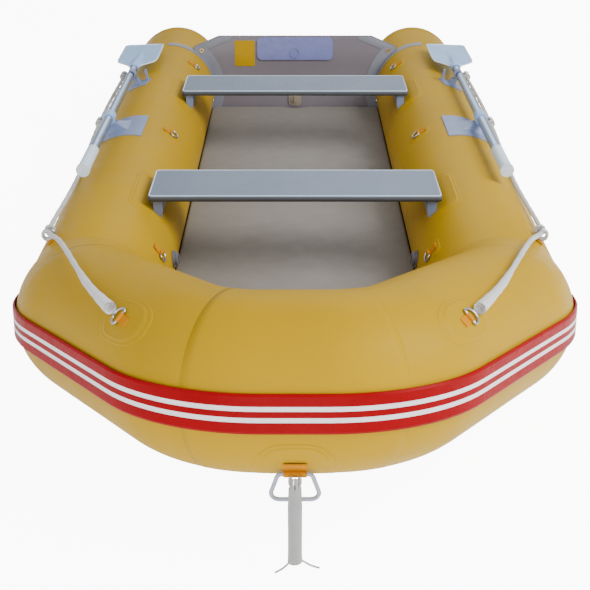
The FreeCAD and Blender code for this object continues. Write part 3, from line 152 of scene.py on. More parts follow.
# ---------------------------------------------------------------- materials
class Nodes:
    """Short calls to build a shader."""

    def __init__(self, name):
        self.material = bpy.data.materials.new(name)
        self.material.use_nodes = True
        self.tree = self.material.node_tree
        self.shader = self.tree.nodes["Principled BSDF"]
        self.place = self.add("ShaderNodeTexCoord")

    def add(self, kind, **settings):
        node = self.tree.nodes.new(kind)
        for key, value in settings.items():
            setattr(node, key, value)
        return node

    def link(self, source, target):
        self.tree.links.new(source, target)

    def noise(self, scale, detail=3.0, rough=0.5, coordinates="Object", stretch=(1, 1, 1)):
        mapping = self.add("ShaderNodeMapping")
        mapping.inputs["Scale"].default_value = stretch
        self.link(self.place.outputs[coordinates], mapping.inputs["Vector"])
        node = self.add("ShaderNodeTexNoise")
        node.inputs["Scale"].default_value = scale
        node.inputs["Detail"].default_value = detail
        node.inputs["Roughness"].default_value = rough
        self.link(mapping.outputs["Vector"], node.inputs["Vector"])
        return node.outputs["Fac"]

    def wave(self, scale, rotation=(0, 0, 0), coordinates="Object", distortion=0.0, profile="SIN"):
        mapping = self.add("ShaderNodeMapping")
        mapping.inputs["Rotation"].default_value = rotation
        self.link(self.place.outputs[coordinates], mapping.inputs["Vector"])
        node = self.add("ShaderNodeTexWave", wave_type="BANDS", bands_direction="X", wave_profile=profile)
        node.inputs["Scale"].default_value = scale
        node.inputs["Distortion"].default_value = distortion
        self.link(mapping.outputs["Vector"], node.inputs["Vector"])
        return node.outputs["Fac"]

    def spread(self, value, low, high, start=0.3, end=0.7):
        node = self.add("ShaderNodeMapRange")
        node.inputs["From Min"].default_value = start
        node.inputs["From Max"].default_value = end
        node.inputs["To Min"].default_value = low
        node.inputs["To Max"].default_value = high
        self.link(value, node.inputs["Value"])
        return node.outputs["Result"]

    def math(self, operation, first, second):
        node = self.add("ShaderNodeMath", operation=operation)
        for socket, value in zip(node.inputs, (first, second)):
            if isinstance(value, (int, float)):
                socket.default_value = value
            else:
                self.link(value, socket)
        return node.outputs["Value"]

    def mix(self, factor, first, second):
        node = self.add("ShaderNodeMix", data_type="RGBA")
        self.link(factor, node.inputs["Factor"])
        for socket, value in ((node.inputs[6], first), (node.inputs[7], second)):
            if isinstance(value, tuple):
                socket.default_value = (*value, 1.0)
            else:
                self.link(value, socket)
        return node.outputs[2]

    def bump(self, layers):
        """Bump layers, each a height and its depth in metres, one on the other."""
        normal = None
        for height, depth in layers:
            node = self.add("ShaderNodeBump")
            node.inputs["Strength"].default_value = 1.0
            node.inputs["Distance"].default_value = depth
            self.link(height, node.inputs["Height"])
            if normal:
                self.link(normal, node.inputs["Normal"])
            normal = node.outputs["Normal"]
        self.link(normal, self.shader.inputs["Normal"])


def scaled(color, factor):
    return tuple(min(1.0, c * factor) for c in color)


def coated_fabric(name, color, roughness=0.34, weave=0.00008, shade=0.9, shine=0.06):
    """Welded PVC fabric: faint weave under a glossy coat, soft unevenness, light scuffs."""
    n = Nodes(name)
    tone = n.mix(n.spread(n.noise(2.2, 4.0), 0.0, 1.0), scaled(color, shade), scaled(color, 1.03))
    scuffs = n.spread(n.noise(38.0, 6.0, 0.65), 0.0, 1.0, 0.60, 0.72)
    n.link(n.mix(n.math("MULTIPLY", scuffs, 0.12), tone, scaled(color, 0.75)), n.shader.inputs["Base Color"])
    uneven = n.spread(n.noise(9.0, 4.0), roughness - 0.05, roughness + 0.08)
    n.link(n.math("ADD", uneven, n.math("MULTIPLY", scuffs, 0.12)), n.shader.inputs["Roughness"])
    threads = n.math("ADD", n.wave(260.0, (0, 0, 0.78)), n.wave(260.0, (0.9, 0.4, -0.78)))
    n.bump([(n.noise(5.0, 2.0), 0.0016), (n.noise(60.0, 3.0), 0.00025), (threads, weave)])
    n.shader.inputs["Specular IOR Level"].default_value = shine
    n.shader.inputs["Coat Weight"].default_value = shine / 3
    n.shader.inputs["Coat Roughness"].default_value = 0.12
    return n.material


def moulded(name, color, roughness=0.45, grain=0.00008, specular=0.5):
    """Moulded plastic or rubber: fine grain, slight mottling, worn highlights."""
    n = Nodes(name)
    tone = n.mix(n.spread(n.noise(14.0, 4.0), 0.0, 1.0), scaled(color, 0.93), scaled(color, 1.04))
    n.link(tone, n.shader.inputs["Base Color"])
    n.link(n.spread(n.noise(55.0, 5.0), roughness - 0.06, roughness + 0.10), n.shader.inputs["Roughness"])
    n.bump([(n.noise(420.0, 2.0), grain), (n.noise(22.0, 2.0), 0.0003)])
    n.shader.inputs["Specular IOR Level"].default_value = specular
    return n.material


def metal(name, color, roughness=0.25, brushed=(1, 1, 1)):
    """Drawn or polished metal: fine lines, handling marks."""
    n = Nodes(name)
    tone = n.mix(n.spread(n.noise(30.0, 4.0), 0.0, 1.0), scaled(color, 0.92), scaled(color, 1.04))
    n.link(tone, n.shader.inputs["Base Color"])
    n.shader.inputs["Metallic"].default_value = 1.0
    n.link(n.spread(n.noise(240.0, 3.0, 0.6, stretch=brushed), roughness - 0.06, roughness + 0.12),
           n.shader.inputs["Roughness"])
    n.bump([(n.noise(300.0, 2.0, stretch=brushed), 0.00003)])
    return n.material


def braided_rope(name, color):
    """Braided cord: two crossing strand helices, woven from the tube's own coordinates."""
    n = Nodes(name)
    first = n.wave(7.0, (0, 0, math.radians(38)), "UV")
    second = n.wave(7.0, (0, 0, math.radians(-38)), "UV")
    strands = n.math("MAXIMUM", first, second)
    fibres = n.noise(90.0, 3.0, coordinates="UV")
    shadow = n.spread(strands, 0.0, 1.0, 0.25, 0.8)
    n.link(n.mix(shadow, scaled(color, 0.80), color), n.shader.inputs["Base Color"])
    n.link(n.spread(fibres, 0.7, 0.9), n.shader.inputs["Roughness"])
    n.shader.inputs["Sheen Weight"].default_value = 0.3
    n.bump([(strands, 0.0012), (fibres, 0.0004)])
    return n.material


def ribbed_deck(name, color, lighter):
    """Deck fabric with fine diagonal non-slip ribs, painted shade in their grooves, and a little dust from
    feet.
    """
    n = Nodes(name)
    ribs = n.wave(46.0, (0, 0, math.radians(52)), distortion=0.15)
    tone = n.mix(n.spread(n.noise(1.6, 3.0), 0.0, 1.0), color, lighter)
    # Darker in the troughs of the ribs: painted shade in the grooves.
    rib_groove_shaded = n.mix(n.spread(ribs, 0.0, 1.0, 0.2, 0.8), scaled(color, 0.86), tone)
    dust = n.spread(n.noise(7.0, 6.0, 0.7), 0.0, 0.25, 0.5, 0.75)
    n.link(n.mix(dust, rib_groove_shaded, scaled(lighter, 1.15)), n.shader.inputs["Base Color"])
    n.link(n.spread(n.noise(20.0, 4.0), 0.52, 0.70), n.shader.inputs["Roughness"])
    n.bump([(n.noise(3.0, 2.0), 0.002), (ribs, 0.0006), (n.noise(400.0, 2.0), 0.00008)])
    return n.material


YELLOW = (0.50, 0.297, 0.0)
MATERIALS = {
    "pvc_yellow": coated_fabric("pvc_yellow", YELLOW),
    "tab_orange": coated_fabric("tab_orange", (0.62, 0.24, 0.0), 0.38),
    "strake_red": moulded("strake_red", (0.30, 0.0, 0.004), 0.32, specular=0.06),
    "stripe_white": moulded("stripe_white", (1.0, 0.94, 1.0), 0.36),
    "deck_taupe": ribbed_deck("deck_taupe", (0.265, 0.242, 0.214), (0.288, 0.266, 0.242)),
    "bottom_grey": coated_fabric("bottom_grey", (0.085, 0.09, 0.10), 0.5),
    "transom_grey": coated_fabric("transom_grey", (0.195, 0.175, 0.205), 0.36, shine=0.3),
    "holder_grey": moulded("holder_grey", (0.22, 0.23, 0.28), 0.45),
    "motor_plate_blue": moulded("motor_plate_blue", (0.17, 0.19, 0.46), 0.34),
    "fitting_beige": moulded("fitting_beige", (0.28, 0.24, 0.18), 0.45),
    "eyelet_brass": metal("eyelet_brass", (0.50, 0.33, 0.12), 0.3),
    "bench_blue_grey": coated_fabric("bench_blue_grey", (0.165, 0.212, 0.295), 0.40, shine=0.3),
    "fitting_grey": moulded("fitting_grey", (0.20, 0.26, 0.43), 0.40),
    "ring_steel": metal("ring_steel", (0.58, 0.58, 0.58), 0.2),
    "handle_grey": moulded("handle_grey", (0.42, 0.46, 0.54), 0.4),
    "rope_white": braided_rope("rope_white", (1.0, 1.0, 1.0)),
    "valve_grey": moulded("valve_grey", (0.17, 0.165, 0.20), 0.4),
    "oar_plastic": moulded("oar_plastic", (0.34, 0.56, 0.88), 0.35),
    "grip_white": moulded("grip_white", (0.72, 0.86, 1.0), 0.5),
    "oar_alloy": metal("oar_alloy", (0.42, 0.53, 0.70), 0.30, (1, 0.02, 1)),
    "button_steel": metal("button_steel", (0.7, 0.7, 0.7), 0.15),
}


# ---------------------------------------------------------------- mesh helpers
def make_mesh(name, points, faces, slot, body="hull", uvs=None, smooth=True):
    """A new piece with its finish, riding on a body of the frame."""
    mesh = bpy.data.meshes.new(name)
    mesh.from_pydata([tuple(p) for p in points], [], faces)
    mesh.validate()
    if uvs:
        layer = mesh.uv_layers.new(name="UVMap")
        for loop in mesh.loops:
            layer.data[loop.index].uv = uvs[loop.vertex_index]
    mesh.materials.append(MATERIALS[slot])
    for polygon in mesh.polygons:
        polygon.use_smooth = smooth
    piece = bpy.data.objects.new(name, mesh)
    bpy.context.scene.collection.objects.link(piece)
    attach(piece, body)
    return piece


def grid_faces(rows, columns, wrap=False):
    """Quads of a grid of points, stored row by row."""
    across = columns if wrap else columns - 1
    return [(r * columns + c, r * columns + (c + 1) % columns,
             (r + 1) * columns + (c + 1) % columns, (r + 1) * columns + c)
            for r in range(rows - 1) for c in range(across)]


def steps(start, end, spacing):
    count = max(2, int(math.ceil(abs(end - start) / spacing)) + 1)
    return [start + (end - start) * i / (count - 1) for i in range(count)]


# ---------------------------------------------------------------- hull skins
def tube_panel(name, start, end, height, replaces=(), around=128, lip=True):
    """One welded panel of the tube, whose edges turn down on to the panel below."""
    places = steps(start, end, 0.014)
    if lip:
        places = [start, start + 0.0004] + places[1:-1] + [end - 0.0004, end]
    points = []
    for index, s in enumerate(places):
        edge = lip and index in (0, len(places) - 1)
        for a in range(around):
            angle = 2 * math.pi * a / around
            ripple = 0.0003 * math.sin(5 * angle + 7.0 * s) * math.sin(11.0 * s)
            points.append(skin(s, angle, -0.0006 if edge else height + ripple))
    piece = make_mesh(name, points, grid_faces(len(places), around, True), "pvc_yellow")
    if replaces:
        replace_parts(piece, *replaces)
    return piece


def build_hull():
    """The tube as overlapping welded panels: sides, quarters, stern cones, then the bow over all."""
    total = 2 * HALF_LENGTH
    cone = TAIL_END - CONE_START
    under = 0.03
    for name, side in SIDES:
        def along(s):
            return s if side > 0 else total - s
        tube_panel("side_skin_" + name, along(-under), along(CORNER_SEAM + under), 0.0,
                   ["hull_side_" + name], lip=False)
        tube_panel("quarter_skin_" + name, along(CORNER_SEAM - SEAM_LAP), along(BOW_SEAM + under),
                   PANEL_STEP, ["hull_bow_" + name])
        tube_panel("cone_skin_" + name, along(SEAM_LAP), along(-cone + 0.006), PANEL_STEP,
                   ["hull_cone_" + name])
        stern_cap(name, side, cone)
    tube_panel("bow_skin", BOW_SEAM - SEAM_LAP, total - BOW_SEAM + SEAM_LAP, 2 * PANEL_STEP,
               ["hull_bow_centre"])


def stern_cap(name, side, cone):
    """Welded end disc of the stern cone: a rounded rim, a weld ring and a slightly full face."""
    rim = radius_at(-cone)
    profile = [(rim + 0.0012, -0.012), (rim + 0.0012, -0.003), (rim - 0.002, -0.0004), (rim - 0.012, 0.0),
               (rim - 0.014, -0.0016), (rim - 0.02, -0.0014), (rim * 0.5, -0.0006), (0.0, -0.0004)]
    around, points = 96, []
    for radius, back in profile:
        for a in range(around):
            angle = 2 * math.pi * a / around
            points.append(Vector((side * SPREAD + radius * math.cos(angle), TAIL_END + back,
                                  RADIUS + radius * math.sin(angle))))
    make_mesh("cone_cap_" + name, points, grid_faces(len(profile), around, True), "pvc_yellow")


build_hull()


# ---------------------------------------------------------------- patches welded on the hull
def rounded_outline(half_u, half_v, corner, count=12):
    """Outline of a rectangle with round corners, as points about its middle."""
    points = []
    for cu, cv, start in ((1, 1, 0), (-1, 1, 90), (-1, -1, 180), (1, -1, 270)):
        for k in range(count + 1):
            a = math.radians(start + 90 * k / count)
            points.append((cu * (half_u - corner) + corner * math.cos(a),
                           cv * (half_v - corner) + corner * math.sin(a)))
    return points


def subdivided(outline, step=0.01):
    """The same outline with points no further apart than a step."""
    points = []
    for a, b in zip(outline, outline[1:] + outline[:1]):
        count = max(1, int(math.dist(a, b) / step))
        step_x, step_y = (b[0] - a[0]) / count, (b[1] - a[1]) / count
        points += [(a[0] + step_x * k, a[1] + step_y * k) for k in range(count)]
    return points


def turned_left(outline):
    """The outline with its points going round to the left."""
    area = sum(a[0] * b[1] - b[0] * a[1] for a, b in zip(outline, outline[1:] + outline[:1]))
    return outline[::-1] if area < 0 else outline


def wrapped_patch(outline, place, base, layers=2, edge=0.010):
    """Points and faces of a doubler patch: one or two stepped layers with thin welded rims."""
    outline = subdivided(outline)
    short = min(math.hypot(u, v) for u, v in outline)
    profile = [(0.0, -0.0006), (0.0008, 0.0009), (0.004, 0.0011), (0.0055, 0.0007), (edge, 0.0007)]
    if layers == 2:
        profile += [(edge + 0.0008, 0.0017), (edge + 0.004, 0.0019), (edge + 0.0055, 0.0015)]
    top = profile[-1][1]
    inner = profile[-1][0]
    profile += [(inner + (short - inner) * k, top) for k in (0.25, 0.5, 0.75)]
    points = []
    for inset, height in profile:
        share = 1 - inset / short
        for u, v in outline:
            points.append(place(u * share, v * share, base + height))
    points.append(place(0.0, 0.0, base + top))
    n = len(outline)
    faces = grid_faces(len(profile), n, True)
    last = (len(profile) - 1) * n
    faces += [(last + k, last + (k + 1) % n, len(points) - 1) for k in range(n)]
    return points, faces


def on_skin(side, s, angle):
    """Places a patch by its middle: u runs along the tube, v round it."""
    middle = math.radians(angle)

    def place(u, v, height):
        p = skin(s + u, middle + v / RADIUS, height)
        return Vector((p.x * side, p.y, p.z))
    return place


def build_patches():
    """Doubler patches under the rings, the benches' ends and the tow tab, joined in one piece."""
    points, faces = [], []

    def add(outline, place, base=0.0, layers=2):
        extra, more = wrapped_patch(outline, place, base, layers)
        offset = len(points)
        points.extend(extra)
        faces.extend(tuple(offset + i for i in face) for face in more)

    def side_place(side, y, angle):
        return on_skin(side, CONE_START - y, angle)

    corner_tangent = CORNER_RADIUS * math.tan(AXIS[3][1] / CORNER_RADIUS / 2)
    bow_ring = PANEL_START + BOW_RING_DISTANCE - corner_tangent
    for side in (1, -1):
        for y, angle in INNER_RINGS:
            add(rounded_outline(0.042, 0.042, 0.020), side_place(side, y, angle))
        for y, angle in OUTER_RINGS:
            add(rounded_outline(0.060, 0.045, 0.030), side_place(side, y, angle))
        add(rounded_outline(0.021, 0.045, 0.012), side_place(side, *FORE_RING), layers=1)
        for y in BENCH_MIDDLES:
            add(rounded_outline(0.135, 0.066, 0.030), side_place(side, y, 128))
        add(rounded_outline(0.075, 0.058, 0.05), on_skin(side, bow_ring, BOW_RING_ANGLE), PANEL_STEP)
    tow = [(-0.092, -0.085), (0.092, -0.085), (0.072, 0.072), (-0.072, 0.072)]
    add(rounded_polygon(tow, 0.05), on_skin(1, HALF_LENGTH, -41.5), 2 * PANEL_STEP)
    patches = make_mesh("welded_patches", points, faces, "pvc_yellow")
    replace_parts(patches, "hull_patches")


def rounded_polygon(corners, radius, count=8):
    """Corners of a polygon, each rounded by a smooth curve."""
    points = []
    for i, corner in enumerate(corners):
        before, after = Vector(corners[i - 1]), Vector(corners[(i + 1) % len(corners)])
        corner = Vector(corner)
        start = corner + (before - corner).normalized() * radius
        end = corner + (after - corner).normalized() * radius
        for k in range(count + 1):
            t = k / count
            p = start * (1 - t) ** 2 + corner * (2 * t * (1 - t)) + end * t ** 2
            points.append((p.x, p.y))
    return points


build_patches()


# ---------------------------------------------------------------- floor
def lofted(name, outline, profile, slot, place=None):
    """A closed form from an outline, stepped in along its normals and up a profile of (inset, height)."""
    count = len(outline)
    normals = []
    for i in range(count):
        before, after = Vector(outline[i - 1]), Vector(outline[(i + 1) % count])
        along = (after - before).normalized()
        normals.append(Vector((-along.y, along.x)))
    points = []
    for inset, height in profile:
        for (x, y), normal in zip(outline, normals):
            p = Vector((x + normal.x * inset, y + normal.y * inset, height))
            points.append(place(p) if place else p)
    faces = grid_faces(len(profile), count, True)
    faces.append(tuple(range(count - 1, -1, -1)))
    faces.append(tuple(range((len(profile) - 1) * count, len(profile) * count)))
    return make_mesh(name, points, faces, slot)


def build_deck():
    """Air deck: full soft edges, a blunt nose and a shallow notch at the transom."""
    low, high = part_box("air_deck")
    half, aft, nose = high.x, high.y, low.y
    straight_end, top, bottom = KINK_LINE - 0.004, high.z, low.z
    corner_inset, notch_half, notch_depth = 0.012, 0.075, 0.024
    outline = [(half, y) for y in steps(aft - corner_inset, straight_end, 0.05)]
    corner, end = Vector((half, straight_end - 0.118)), Vector((half - 0.190, nose))
    for k in range(1, 13):
        t = k / 12
        p = Vector((half, straight_end)) * (1 - t) ** 2 + corner * (2 * t * (1 - t)) + end * t ** 2
        outline.append((p.x, p.y))
    outline += [(-x, y) for x, y in reversed(outline)]
    outline.append((corner_inset - half, aft))
    for x in steps(-notch_half, notch_half, 0.0125):
        outline.append((x, aft - notch_depth / 2 * (1 + math.cos(math.pi * x / notch_half))))
    outline.append((half - corner_inset, aft))
    outline = turned_left(subdivided(outline[::-1], 0.02))
    middle = (top + bottom) / 2
    profile = [(0.016, bottom), (0.006, bottom + 0.005), (0.0015, bottom + 0.014), (0.0, middle),
               (-0.0015, top - 0.012), (-0.001, top - 0.005), (0.002, top - 0.001), (0.007, top + 0.0002)]
    deck = lofted("ribbed_air_deck", outline, profile, "deck_taupe")
    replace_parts(deck, "air_deck")


def build_keel():
    """Keel tube pressed under the deck, drawn in at both ends."""
    low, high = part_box("keel_tube")
    points, around = [], 40
    for y in steps(low.y, high.y, 0.03):
        end = min(y - low.y, high.y - y, 0.05) / 0.05
        share = max(math.sqrt(max(0.0, 1 - (1 - end) ** 2)), 0.04)
        for a in range(around):
            angle = 2 * math.pi * a / around
            x = high.x * math.copysign(abs(math.cos(angle)) ** 0.7, math.cos(angle)) * (0.35 + 0.65 * share)
            z = (high.z - low.z) / 2 * math.copysign(abs(math.sin(angle)) ** 0.8, math.sin(angle)) * share
            points.append(Vector((x, y, (high.z + low.z) / 2 + z)))
    rows = len(points) // around
    last = len(points) - 1
    faces = grid_faces(rows, around, True)
    faces += [tuple(range(around)), tuple(range(last, last - around, -1))]
    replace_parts(make_mesh("inflated_keel", points, faces, "bottom_grey"), "keel_tube")


build_deck()
build_keel()


# ---------------------------------------------------------------- ropes
LAY_TURNS, LAY_LENGTH = 1.6, 0.045


def route_line(name, points, count=8):
    """Smooth line through a route: a NURBS spline with the route's points as control points."""
    curve = bpy.data.curves.new(name, "CURVE")
    curve.dimensions = "3D"
    spline = curve.splines.new("NURBS")
    spline.points.add(len(points) - 1)
    for control, point in zip(spline.points, points):
        control.co = (*point, 1.0)
    spline.order_u = 3
    spline.use_endpoint_u = True
    spline.resolution_u = count
    holder = bpy.data.objects.new(name, curve)
    bpy.context.scene.collection.objects.link(holder)
    line = bpy.data.meshes.new_from_object(holder)
    places = [v.co.copy() for v in line.vertices]
    bpy.data.objects.remove(holder)
    bpy.data.meshes.remove(line)
    return places


def tube_points(line, radius, around=12):
    """Rings of points along a line, with the rope's lay in the UVs (turns round, diameters along)."""
    points, uvs = [], []
    up = Vector((0.2, 0.1, 1))
    run = 0.0
    for i, p in enumerate(line):
        ahead = (line[min(i + 1, len(line) - 1)] - line[max(i - 1, 0)]).normalized()
        across = (up - ahead * up.dot(ahead)).normalized()
        up = across
        other = ahead.cross(across)
        if i:
            run += (p - line[i - 1]).length
        r = radius(run) if callable(radius) else radius
        for a in range(around + 1):
            angle = 2 * math.pi * a / around
            points.append(p + (across * math.cos(angle) + other * math.sin(angle)) * r)
            uvs.append((a / around * LAY_TURNS, run / LAY_LENGTH))
    return points, uvs


def rope_mesh(name, lines, radius, slot="rope_white", around=12, body="hull"):
    """Round tubes along one or more lines, closed at their ends, as one piece."""
    points, uvs, faces = [], [], []
    for line in lines:
        more, places = tube_points(line, radius, around)
        offset, columns = len(points), around + 1
        rows = len(line)
        points += more
        uvs += places
        faces += [tuple(offset + i for i in face) for face in grid_faces(rows, columns)]
        faces.append(tuple(offset + i for i in range(around)))
        faces.append(tuple(offset + (rows - 1) * columns + i for i in range(around)))
    return make_mesh(name, points, faces, slot, body, uvs)


# route of the port grab line: bow ring, over the tube's corner, two side rings, aft ring
GRAB_LINE = [
    (0.411, -1.393, 0.508), (0.474, -1.293, 0.498), (0.532, -1.165, 0.484), (0.587, -1.035, 0.465),
    (0.634, -0.922, 0.442), (0.681, -0.821, 0.406), (0.716, -0.742, 0.372), (0.723, -0.640, 0.364),
    (0.720, -0.500, 0.359), (0.721, -0.350, 0.352), (0.728, -0.200, 0.343), (0.739, -0.050, 0.333),
    (0.751, 0.090, 0.324), (0.761, 0.230, 0.317), (0.766, 0.360, 0.314), (0.768, 0.490, 0.315),
    (0.767, 0.620, 0.317), (0.764, 0.760, 0.320), (0.761, 0.855, 0.322), (0.760, 0.930, 0.324),
    (0.760, 0.972, 0.327)]
# routes of the bow line's two loose ends: from the hank's foot to the floor
BOW_LINE_TAILS = [
    [(-0.009, -1.677, 0.024), (-0.020, -1.681, 0.013), (-0.032, -1.686, 0.0055), (-0.045, -1.691, 0.0028)],
    [(0.011, -1.677, 0.030), (0.025, -1.676, 0.017), (0.039, -1.676, 0.007), (0.055, -1.677, 0.0028)]]


def ring_knot(centre, along, radius, turns=2.6, length=0.022):
    """Turns of rope round a ring or round itself."""
    along = along.normalized()
    side = along.orthogonal().normalized()
    other = along.cross(side)
    line, per_turn = [], 16
    for k in range(int(turns * per_turn) + 1):
        a = 2 * math.pi * k / per_turn
        spoke = (side * math.cos(a) + other * math.sin(a)) * radius
        line.append(centre + along * (length * (k / (turns * per_turn) - 0.5)) + spoke)
    return line


def build_grab_lines():
    """Grab lines, each with a thick spliced sleeve at the bow end and a knot at each side ring."""
    splice_length, knot_radius = 0.255, 0.0115
    for name, side in SIDES:
        route = [(side * x, y, z) for x, y, z in GRAB_LINE]
        line = route_line("grab_route_" + name, route)

        def thickness(run):
            return 0.007 * (1 + 0.06 * math.sin(run * 85))

        def spliced_end(run):
            swell = math.exp(-((run - 0.005) / 0.10) ** 2) + 0.30 * math.exp(-((run - 0.17) / 0.07) ** 2)
            return 0.0072 * (1 + swell * min(1.0, (0.26 - run) / 0.05) + 0.05 * math.sin(run * 120))

        rope = rope_mesh("grab_rope_" + name, [line], thickness, around=16)
        splice = [line[0] + (line[1] - line[0]) * 0.02]
        for a, b in zip(line, line[1:]):
            splice += [a + (b - a) * k / 4 for k in (1, 2, 3, 4)]
        run = 0.0
        for count, (a, b) in enumerate(zip(splice, splice[1:])):
            run += (b - a).length
            if run > splice_length:
                break
        sleeve = rope_mesh("grab_splice_" + name, [splice[:count]], spliced_end, around=16)
        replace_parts(rope, "grab_line_" + name)
        knots = []
        for y, _ in (FORE_RING, *OUTER_RINGS):
            near = min(range(len(line)), key=lambda i: abs(line[i].y - y))
            along = line[min(near + 1, len(line) - 1)] - line[near - 1]
            knots.append(ring_knot(line[near] + Vector((0, 0.016, 0)), along, knot_radius))
            knots.append(ring_knot(line[near] - Vector((0, 0.018, 0)), along, knot_radius, 1.7, 0.016))
        knot = rope_mesh("grab_knots_" + name, knots, 0.0046, around=10)
        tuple(line[0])


def build_bow_line():
    """The bow line: strands from the handle, wrapped into a tied hank, with two loose ends."""
    low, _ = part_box("bow_line_hank")
    centre_y = low.y + 0.0125
    start, top, bottom = 0.262, 0.239, 0.022
    across, deep, cord_radius = 0.0135, 0.0088, 0.0025
    core = [Vector((0.0, centre_y, z)) for z in steps(start, bottom + 0.004, 0.012)]
    turns, per_turn = 40, 16
    wraps = []
    for k in range(turns * per_turn + 1):
        share = k / (turns * per_turn)
        a = 2 * math.pi * k / per_turn + math.pi / 2
        slim = 1 - 0.12 * max(0.0, (share - 0.75) / 0.25) + 0.08 * max(0.0, (0.15 - share) / 0.15)
        depth = (deep * slim + 0.0003) * math.sin(a)
        climb = (top - bottom) * share
        wraps.append(Vector((across * slim * math.cos(a), centre_y + depth, bottom + climb)))
    line = core + [Vector((0.003, centre_y + 0.003, bottom - 0.001))] + wraps
    hank = rope_mesh("bow_hank", [line], cord_radius, around=8)
    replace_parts(hank, "bow_line_hank")
    strands = []
    for x0, x1, y0 in ((-0.012, -0.009, -0.003), (-0.005, -0.004, -0.007), (0.004, 0.004, -0.007),
                       (0.012, 0.009, -0.003), (-0.008, -0.008, 0.006), (0.008, 0.008, 0.006)):
        route = [(x0, centre_y + y0 * 0.6, 0.2655), (x0 * 1.1, centre_y + y0 * 1.2, 0.255),
                 (x1, centre_y + y0 * 1.4, 0.245), (x1 * 0.9, centre_y + y0, 0.236)]
        strands.append(route_line("strand", route, 6))
    tops = rope_mesh("bow_hank_strands", strands, 0.0024, around=8)
    length = sum((b - a).length for a, b in zip(line, line[1:]))
    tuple(line[0])
    for number, (route, size) in enumerate(zip(BOW_LINE_TAILS, (0.045, 0.053)), 1):
        line = route_line("tail_route_%d" % number, route)
        tail = rope_mesh("bow_line_tail_%d" % number, [line], cord_radius, around=10)
        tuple(line[0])
        if number == 1:
            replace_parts(tail, "bow_line_tails")


build_grab_lines()
build_bow_line()


# ---------------------------------------------------------------- transom details
TRANSOM_LINE, TRANSOM_RAKE, HALF_BOARD = 1.168, math.radians(10), 0.014


def on_transom(p):
    """A point of the transom's inner face: x across, y up the board, z off it."""
    up = Vector((0, math.sin(TRANSOM_RAKE), math.cos(TRANSOM_RAKE)))
    inward = Vector((0, -math.cos(TRANSOM_RAKE), math.sin(TRANSOM_RAKE)))
    return Vector((p.x, TRANSOM_LINE, RADIUS)) + up * p.y + inward * (HALF_BOARD + p.z)


def build_label():
    """Blank label on the transom's inner face, and the pale gussets at its shoulders."""
    outline = [(x - 0.2335, y + 0.155) for x, y in rounded_outline(0.0465, 0.058, 0.006, 5)]
    sheet = [(0, 0.0), (0, 0.0006), (0.001, 0.0008)]
    lofted("blank_label", outline, sheet, "pvc_yellow", on_transom)
    gusset = ((0.350, 0.231), (0.462, 0.184), (0.452, 0.130), (0.405, 0.172), (0.345, 0.196),
              (0.298, 0.214), (0.292, 0.230))
    layer = [(0, 0.0), (0, 0.0008), (0.001, 0.0012)]
    for name, side in SIDES:
        corners = [(side * x, y) for x, y in gusset][::side]
        shape = turned_left(rounded_polygon(corners, 0.008, 3))
        lofted("corner_gusset_" + name, shape, layer, "holder_grey", on_transom)


build_label()


# ---------------------------------------------------------------- oars and benches
OAR_ANGLE, OAR_LIFT, FEATHER = math.radians(68), 0.05, math.radians(20)
BLADE_ROOT, BLADE_TIP, BLADE_CORNER = 0.700, 1.030, 0.012
NECK_HALF, SHOULDER_HALF, BLADE_HALF = 0.016, 0.078, 0.084
SHOULDER, FULL_WIDTH = BLADE_ROOT + 0.066, BLADE_ROOT + 0.105


def oar_place(side, turn):
    """Places a point of the oar: x across the blade, y towards its tip, z off the blade."""
    normal = Vector((side * math.cos(OAR_ANGLE), 0, math.sin(OAR_ANGLE)))
    outboard = Vector((side * math.sin(OAR_ANGLE), 0, -math.cos(OAR_ANGLE)))
    centre = Vector((side * SPREAD, 0, RADIUS)) + normal * (RADIUS + OAR_LIFT)
    across = outboard * math.cos(turn) + normal * math.sin(turn)
    off = normal * math.cos(turn) - outboard * math.sin(turn)
    return lambda x, y, z: centre + across * x + Vector((0, y, 0)) + off * z


def blade_half_width(y):
    """Half width of the blade's plate along the oar."""
    if y < SHOULDER:
        return NECK_HALF + (SHOULDER_HALF - NECK_HALF) * (y - BLADE_ROOT) / (SHOULDER - BLADE_ROOT)
    if y < FULL_WIDTH:
        return SHOULDER_HALF + (BLADE_HALF - SHOULDER_HALF) * (y - SHOULDER) / (FULL_WIDTH - SHOULDER)
    return BLADE_HALF - BLADE_CORNER * max(0.0, (y - BLADE_TIP + BLADE_CORNER) / BLADE_CORNER) ** 2


